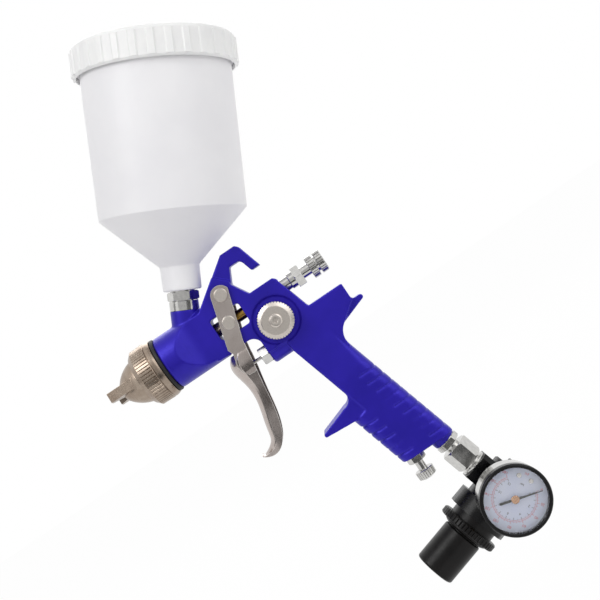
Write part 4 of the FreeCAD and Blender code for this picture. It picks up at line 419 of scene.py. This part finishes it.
def round_edges(node, width):
    """Stands in for a frame piece, with the small rounds that its making leaves on the edges."""
    piece = skin_of(node)
    modify(piece, "BEVEL", width=width * MM, segments=2, limit_method="ANGLE",
           angle_limit=EDGE_ANGLE, use_clamp_overlap=True)
    shade(piece, CUP_CREASE if node == "cup" else CREASE)
    modify(piece, "WEIGHTED_NORMAL", keep_sharp=True, weight=50)
    stand_in(piece, node, OWN_FINISHES.get(node))


def cast_body():
    """The casting: every outside edge is softened, as sand casting and blasting leave it."""
    piece = skin_of("gun_body")
    voxel = CAST_VOXEL
    modify(piece, "REMESH", mode="VOXEL", voxel_size=voxel, adaptivity=0.0)
    modify(piece, "SMOOTH", factor=0.5, iterations=3)
    # the remesh leaves four sided faces, each of them two triangles
    modify(piece, "DECIMATE", ratio=CAST_TRIANGLES / (2 * len(piece.data.polygons)))
    choose(piece)
    bpy.ops.object.shade_smooth()
    stand_in(piece, "gun_body")


def cross_recess(node):
    """Cuts the driver's cross into the near end of a finished screw."""
    arm, half = CROSS_ARM, CROSS_HALF
    quarter = ((arm, -half), (arm, half), (half, half))
    corners = [(x * cos - z * sin, x * sin + z * cos)
               for cos, sin in ((1, 0), (0, 1), (-1, 0), (0, -1)) for x, z in quarter]
    mesh = bmesh.new()
    near = mesh.faces.new([mesh.verts.new((x, -MM, z)) for x, z in corners])
    grown = bmesh.ops.extrude_face_region(mesh, geom=[near])["geom"]
    far = [part for part in grown if isinstance(part, bmesh.types.BMVert)]
    bmesh.ops.translate(mesh, vec=(0, MM + CROSS_DEPTH, 0), verts=far)
    place = middle_of(node)
    place.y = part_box(node)[0].y
    turn = Matrix.Rotation(math.radians(CROSS_TURN), 4, "Y")
    bmesh.ops.transform(mesh, matrix=Matrix.Translation(place) @ turn, verts=mesh.verts)
    cutter = made_from("cross_cutter", mesh)
    screw = bpy.data.objects[node + "_finished"]
    modify(screw, "BOOLEAN", operation="DIFFERENCE", object=cutter, solver="EXACT")
    bpy.data.objects.remove(cutter)
    shade(screw, CREASE)


def squeezed_spring(node):
    """A coil spring's frame piece given a smooth skin and shown in its place."""
    piece = skin_of(node)
    shade(piece, CREASE)
    stand_in(piece, node)
    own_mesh(piece)


cast_body()
for label, width in ROUNDS.items():
    round_edges(label, width)
cross_recess("pattern_knob_screw")
squeezed_spring("needle_spring")
squeezed_spring("air_valve_spring")
squeezed_spring("range_spring")


# ------------------------------------------------------------ the gauge's printing and hub

POINTER = JOINTS["gauge_pointer_turn"]
DIAL_OUT = -Vector(POINTER["axis"]).normalized()
FULL_TURN = 270    # degrees from the first figure to the last
SCALE_START = 225  # where the first figure lies, anticlockwise from the right
FOOT = math.radians(-90)
ARC_STEPS = 90
PRINT_LIFT = 0.04 * MM
# lengths in millimetres. arcs: inner and outer radius. ticks: inner and outer radius, how many
# to one figure, and width. figures: height and radius. unit: its word, height and radius
DIAL_PRINT = (
    {"name": "dial_print_red", "ink": RED_INK, "steps": 9, "top": 180,
     "arcs": ((13.3, 13.5), (12.5, 12.66)),
     "ticks": ((13.4, 14.2, 4, 0.12), (13.4, 14.9, 1, 0.2)),
     "figures": (2.3, 16.7), "unit": ("psi", 2.2, 16.2)},
    {"name": "dial_print_black", "ink": BLACK_INK, "steps": 6, "top": 12,
     "arcs": (),
     "ticks": ((11.7, 12.5, 4, 0.14), (11.0, 12.5, 2, 0.2)),
     "figures": (2.1, 9.4), "unit": ("bar", 2.0, 9.6)},
)
# radius, and height over the pointer's face, in millimetres
HUB_PROFILE = ((0, -0.6), (2.2, -0.6), (2.45, -0.4), (2.45, -0.05), (2.2, 0.12), (1.5, 0.2),
               (0.7, 0.22), (0, 0.22))
HUB_STEPS = 48
HUB_CREASE = 40


def face_of(node):
    """How far out along the dial's axis a frame piece reaches."""
    return max(vertex.co.dot(DIAL_OUT) for vertex in NODES[node].data.vertices)


def dial_frame():
    """The dial's frame: x right and y up as it is read, z out of it, origin on its face."""
    centre = Vector(POINTER["pos_m"])
    centre += DIAL_OUT * (face_of("gauge_dial") - centre.dot(DIAL_OUT))
    # the dial's two screws are at its foot
    foot = middle_of("dial_screws") - centre
    up = -(foot - DIAL_OUT * foot.dot(DIAL_OUT)).normalized()
    turn = Matrix((up.cross(DIAL_OUT), up, DIAL_OUT)).transposed().to_4x4()
    return Matrix.Translation(centre) @ turn


def scale_angle(share):
    """Where a share of the scale lies round the dial: clockwise from its lower left."""
    return math.radians(SCALE_START - FULL_TURN * share)


def add_sector(mesh, inner, outer, start, stop, steps=1):
    """A flat part of a ring, in millimetres and shares of the scale, added to a bmesh."""
    rows = []
    for step in range(steps + 1):
        angle = scale_angle(start + (stop - start) * step / steps)
        rows.append([mesh.verts.new((r * MM * math.cos(angle), r * MM * math.sin(angle), 0))
                     for r in (inner, outer)])
    for near, far in zip(rows, rows[1:]):
        mesh.faces.new((near[0], near[1], far[1], far[0]))


def add_ticks(mesh, inner, outer, count, width):
    """Evenly spaced ticks along the whole scale, in millimetres."""
    half = width / (math.radians(FULL_TURN) * (inner + outer))
    for step in range(count + 1):
        add_sector(mesh, inner, outer, step / count - half, step / count + half)


def add_text(mesh, words, height, radius, angle):
    """Upright figures with their middle at a radius and angle."""
    bpy.ops.object.text_add()
    text = bpy.context.object
    text.data.body = words
    text.data.align_x, text.data.align_y = "CENTER", "CENTER"
    text.data.resolution_u = 4
    choose(text)
    bpy.ops.object.convert(target="MESH")
    text = bpy.context.object
    place = Vector((math.cos(angle), math.sin(angle), 0)) * radius * MM
    text.data.transform(Matrix.Translation(place) @ Matrix.Scale(height * MM, 4))
    mesh.from_mesh(text.data)
    bpy.data.objects.remove(text)


def print_scale(plan):
    """Prints one scale as a piece of its own, a hair above the dial."""
    mesh = bmesh.new()
    steps = plan["steps"]
    for inner, outer in plan["arcs"]:
        add_sector(mesh, inner, outer, 0, 1, ARC_STEPS)
    for inner, outer, share, width in plan["ticks"]:
        add_ticks(mesh, inner, outer, steps * share, width)
    for step in range(steps + 1):
        figure = str(plan["top"] * step // steps)
        add_text(mesh, figure, *plan["figures"], scale_angle(step / steps))
    add_text(mesh, *plan["unit"], FOOT)
    place = dial_frame() @ Matrix.Translation((0, 0, PRINT_LIFT))
    bmesh.ops.transform(mesh, matrix=place, verts=mesh.verts)
    piece = made_from(plan["name"], mesh)
    for face in piece.data.polygons:
        if face.normal.dot(DIAL_OUT) < 0:
            face.flip()
    seat(piece, "gauge_dial", plan["ink"])


def pointer_hub():
    """The bright cap pressed on the pointer's middle, turned round the dial's axis."""
    place = dial_frame()
    rise = (face_of("gauge_pointer") - place.translation.dot(DIAL_OUT)) / MM
    mesh = bmesh.new()
    line = [mesh.verts.new((r * MM, 0, (rise + z) * MM)) for r, z in HUB_PROFILE]
    edges = [mesh.edges.new(pair) for pair in zip(line, line[1:])]
    bmesh.ops.spin(mesh, geom=line + edges, cent=(0, 0, 0), axis=(0, 0, 1), angle=math.tau,
                   steps=HUB_STEPS, use_merge=True)
    bmesh.ops.remove_doubles(mesh, verts=mesh.verts, dist=WELD)
    bmesh.ops.transform(mesh, matrix=place, verts=mesh.verts)
    hub = made_from("pointer_hub", mesh)
    shade(hub, HUB_CREASE)
    seat(hub, "gauge_pointer", COPPER)


for plan in DIAL_PRINT:
    print_scale(plan)
pointer_hub()


# ------------------------------------------------------------ studio

WHITE = (1, 1, 1, 1)
FLOOR_SIDE = 8
FLOOR_DROP = 0.035   # from the object's lowest point to the floor, in metres
FLOOR_WHITE = 0.975  # the share of plain white where the floor is seen directly
BOARD_LIFT = 0.01
ROOM_LIGHT, ROOM_SEEN = 0.56, 1.0
# offset from the object's middle and side, in metres, and power in watts
LAMPS = {
    "key_softbox": ((-0.45, -0.75, 0.85), 0.6, 4.8),
    "fill_softbox": ((0.9, -0.6, 0.5), 0.9, 3.2),
    "back_softbox": ((0.1, 0.9, 0.7), 0.8, 4),
}
DARK_BOARD, GREY_BOARD = 0.09, 0.62
# the camera's place, the point that it looks at and which way is up in its picture, in metres
EYE = Vector((0.1383, -0.6667, -0.0113))
AIM = Vector((0.1246, 0.0, -0.0131))
UP = Vector((0.560, 0.014, 0.829))
LENS, SENSOR = 64.2, 36  # millimetres


def seen_directly(tree):
    """1 where the lens, a reflection or a clear part sees it, and 0 where it only lights."""
    rays = add(tree, "LightPath").outputs
    seen = rays["Is Camera Ray"]
    for kind in ("Is Glossy Ray", "Is Transmission Ray"):
        seen = add(tree, "Math", {0: seen, 1: rays[kind]}, operation="MAXIMUM").outputs[0]
    return seen


def white_floor():
    # matt white paper, lifted to full white where the lens or a bright metal sees it
    made, tree, shader = finish_named("white_paper_floor", Roughness=0.9)
    paper = between(tree, blotches(tree, 400), "#f4f4f4", "#f8f8f8")
    tree.links.new(paper, shader.inputs["Base Color"])
    glow = add(tree, "Emission", {"Color": WHITE, "Strength": 1.0})
    part = add(tree, "Math", {0: seen_directly(tree), 1: FLOOR_WHITE}, operation="MULTIPLY")
    mix = add(tree, "MixShader", {0: part.outputs[0], 1: shader.outputs[0], 2: glow.outputs[0]})
    tree.links.new(mix.outputs[0], tree.nodes["Material Output"].inputs["Surface"])
    return made


def board(name, level):
    # an even board seen only in the metal: it gives polished parts their grey and dark bands
    made, tree, shader = finish_named(name)
    tree.nodes.remove(shader)
    glow = add(tree, "Emission", {"Color": WHITE, "Strength": level})
    tree.links.new(glow.outputs[0], tree.nodes["Material Output"].inputs["Surface"])
    return made


def studio_plane(name, centre, facing, width, depth, finish):
    """A flat sheet of the studio, which isn't part of the object."""
    bpy.ops.mesh.primitive_plane_add(size=1, location=(0, 0, 0))
    sheet = bpy.context.object
    sheet.name = name
    sheet.data.transform(Matrix.Diagonal((width, depth, 1, 1)))
    sheet.data.transform(Vector(facing).to_track_quat("Z", "Y").to_matrix().to_4x4())
    sheet.data.transform(Matrix.Translation(centre))
    sheet.data.materials.append(finish)
    return sheet


def white_room():
    """An even white room: full white where it is seen, softer as light."""
    world = bpy.data.worlds.new("white_room")
    bpy.context.scene.world = world
    world.use_nodes = True
    room = world.node_tree.nodes["Background"]
    room.inputs["Color"].default_value = WHITE
    level = add(world.node_tree, "MapRange", {"Value": seen_directly(world.node_tree),
                                              "To Min": ROOM_LIGHT, "To Max": ROOM_SEEN})
    world.node_tree.links.new(level.outputs[0], room.inputs["Strength"])


def lamps(middle):
    for name, (offset, side, power) in LAMPS.items():
        lamp = bpy.data.lights.new(name, "AREA")
        lamp.size = side
        lamp.energy = power
        holder = place_new(name, lamp)
        holder.location = middle + Vector(offset)
        holder.rotation_euler = Vector(offset).to_track_quat("Z", "Y").to_euler()


def cards(middle, floor_height):
    """Boards at offsets from the object's middle, one of them lying just above the floor."""
    dark, grey = board("dark_board", DARK_BOARD), board("grey_board", GREY_BOARD)
    low = floor_height + BOARD_LIFT - middle.z
    for name, offset, facing, width, depth, finish in (
        ("dark_card_low", (0.15, -0.8, low), (0, 0, 1), 0.9, 0.9, dark),
        ("dark_card_left", (-1.1, -0.3, -0.1), (1, 0.2, 0), 0.4, 1.4, dark),
        ("grey_card_behind", (0.0, -1.6, 0.0), (0, 1, 0), 2.6, 2.2, grey),
    ):
        sheet = studio_plane(name, middle + Vector(offset), facing, width, depth, finish)
        sheet.visible_camera = sheet.visible_shadow = False
        sheet.visible_diffuse = sheet.visible_transmission = False


def studio():
    low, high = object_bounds()
    middle = (low + high) / 2
    floor = (middle.x, middle.y, low.z - FLOOR_DROP)
    studio_plane("floor", floor, (0, 0, 1), FLOOR_SIDE, FLOOR_SIDE, white_floor())
    white_room()
    lamps(middle)
    cards(middle, floor[2])


def camera():
    """Looks squarely at the near side, rolled so that the barrel points down to the left."""
    back = (EYE - AIM).normalized()
    right = UP.cross(back).normalized()
    up = back.cross(right)
    lens = bpy.data.cameras.new("camera")
    lens.lens = LENS
    lens.sensor_width = SENSOR
    holder = place_new("camera", lens)
    turn = Matrix((right, up, back)).transposed().to_4x4()
    holder.matrix_world = Matrix.Translation(EYE) @ turn
    bpy.context.scene.camera = holder


studio()
camera()
bpy.context.scene.view_settings.view_transform = "Standard"
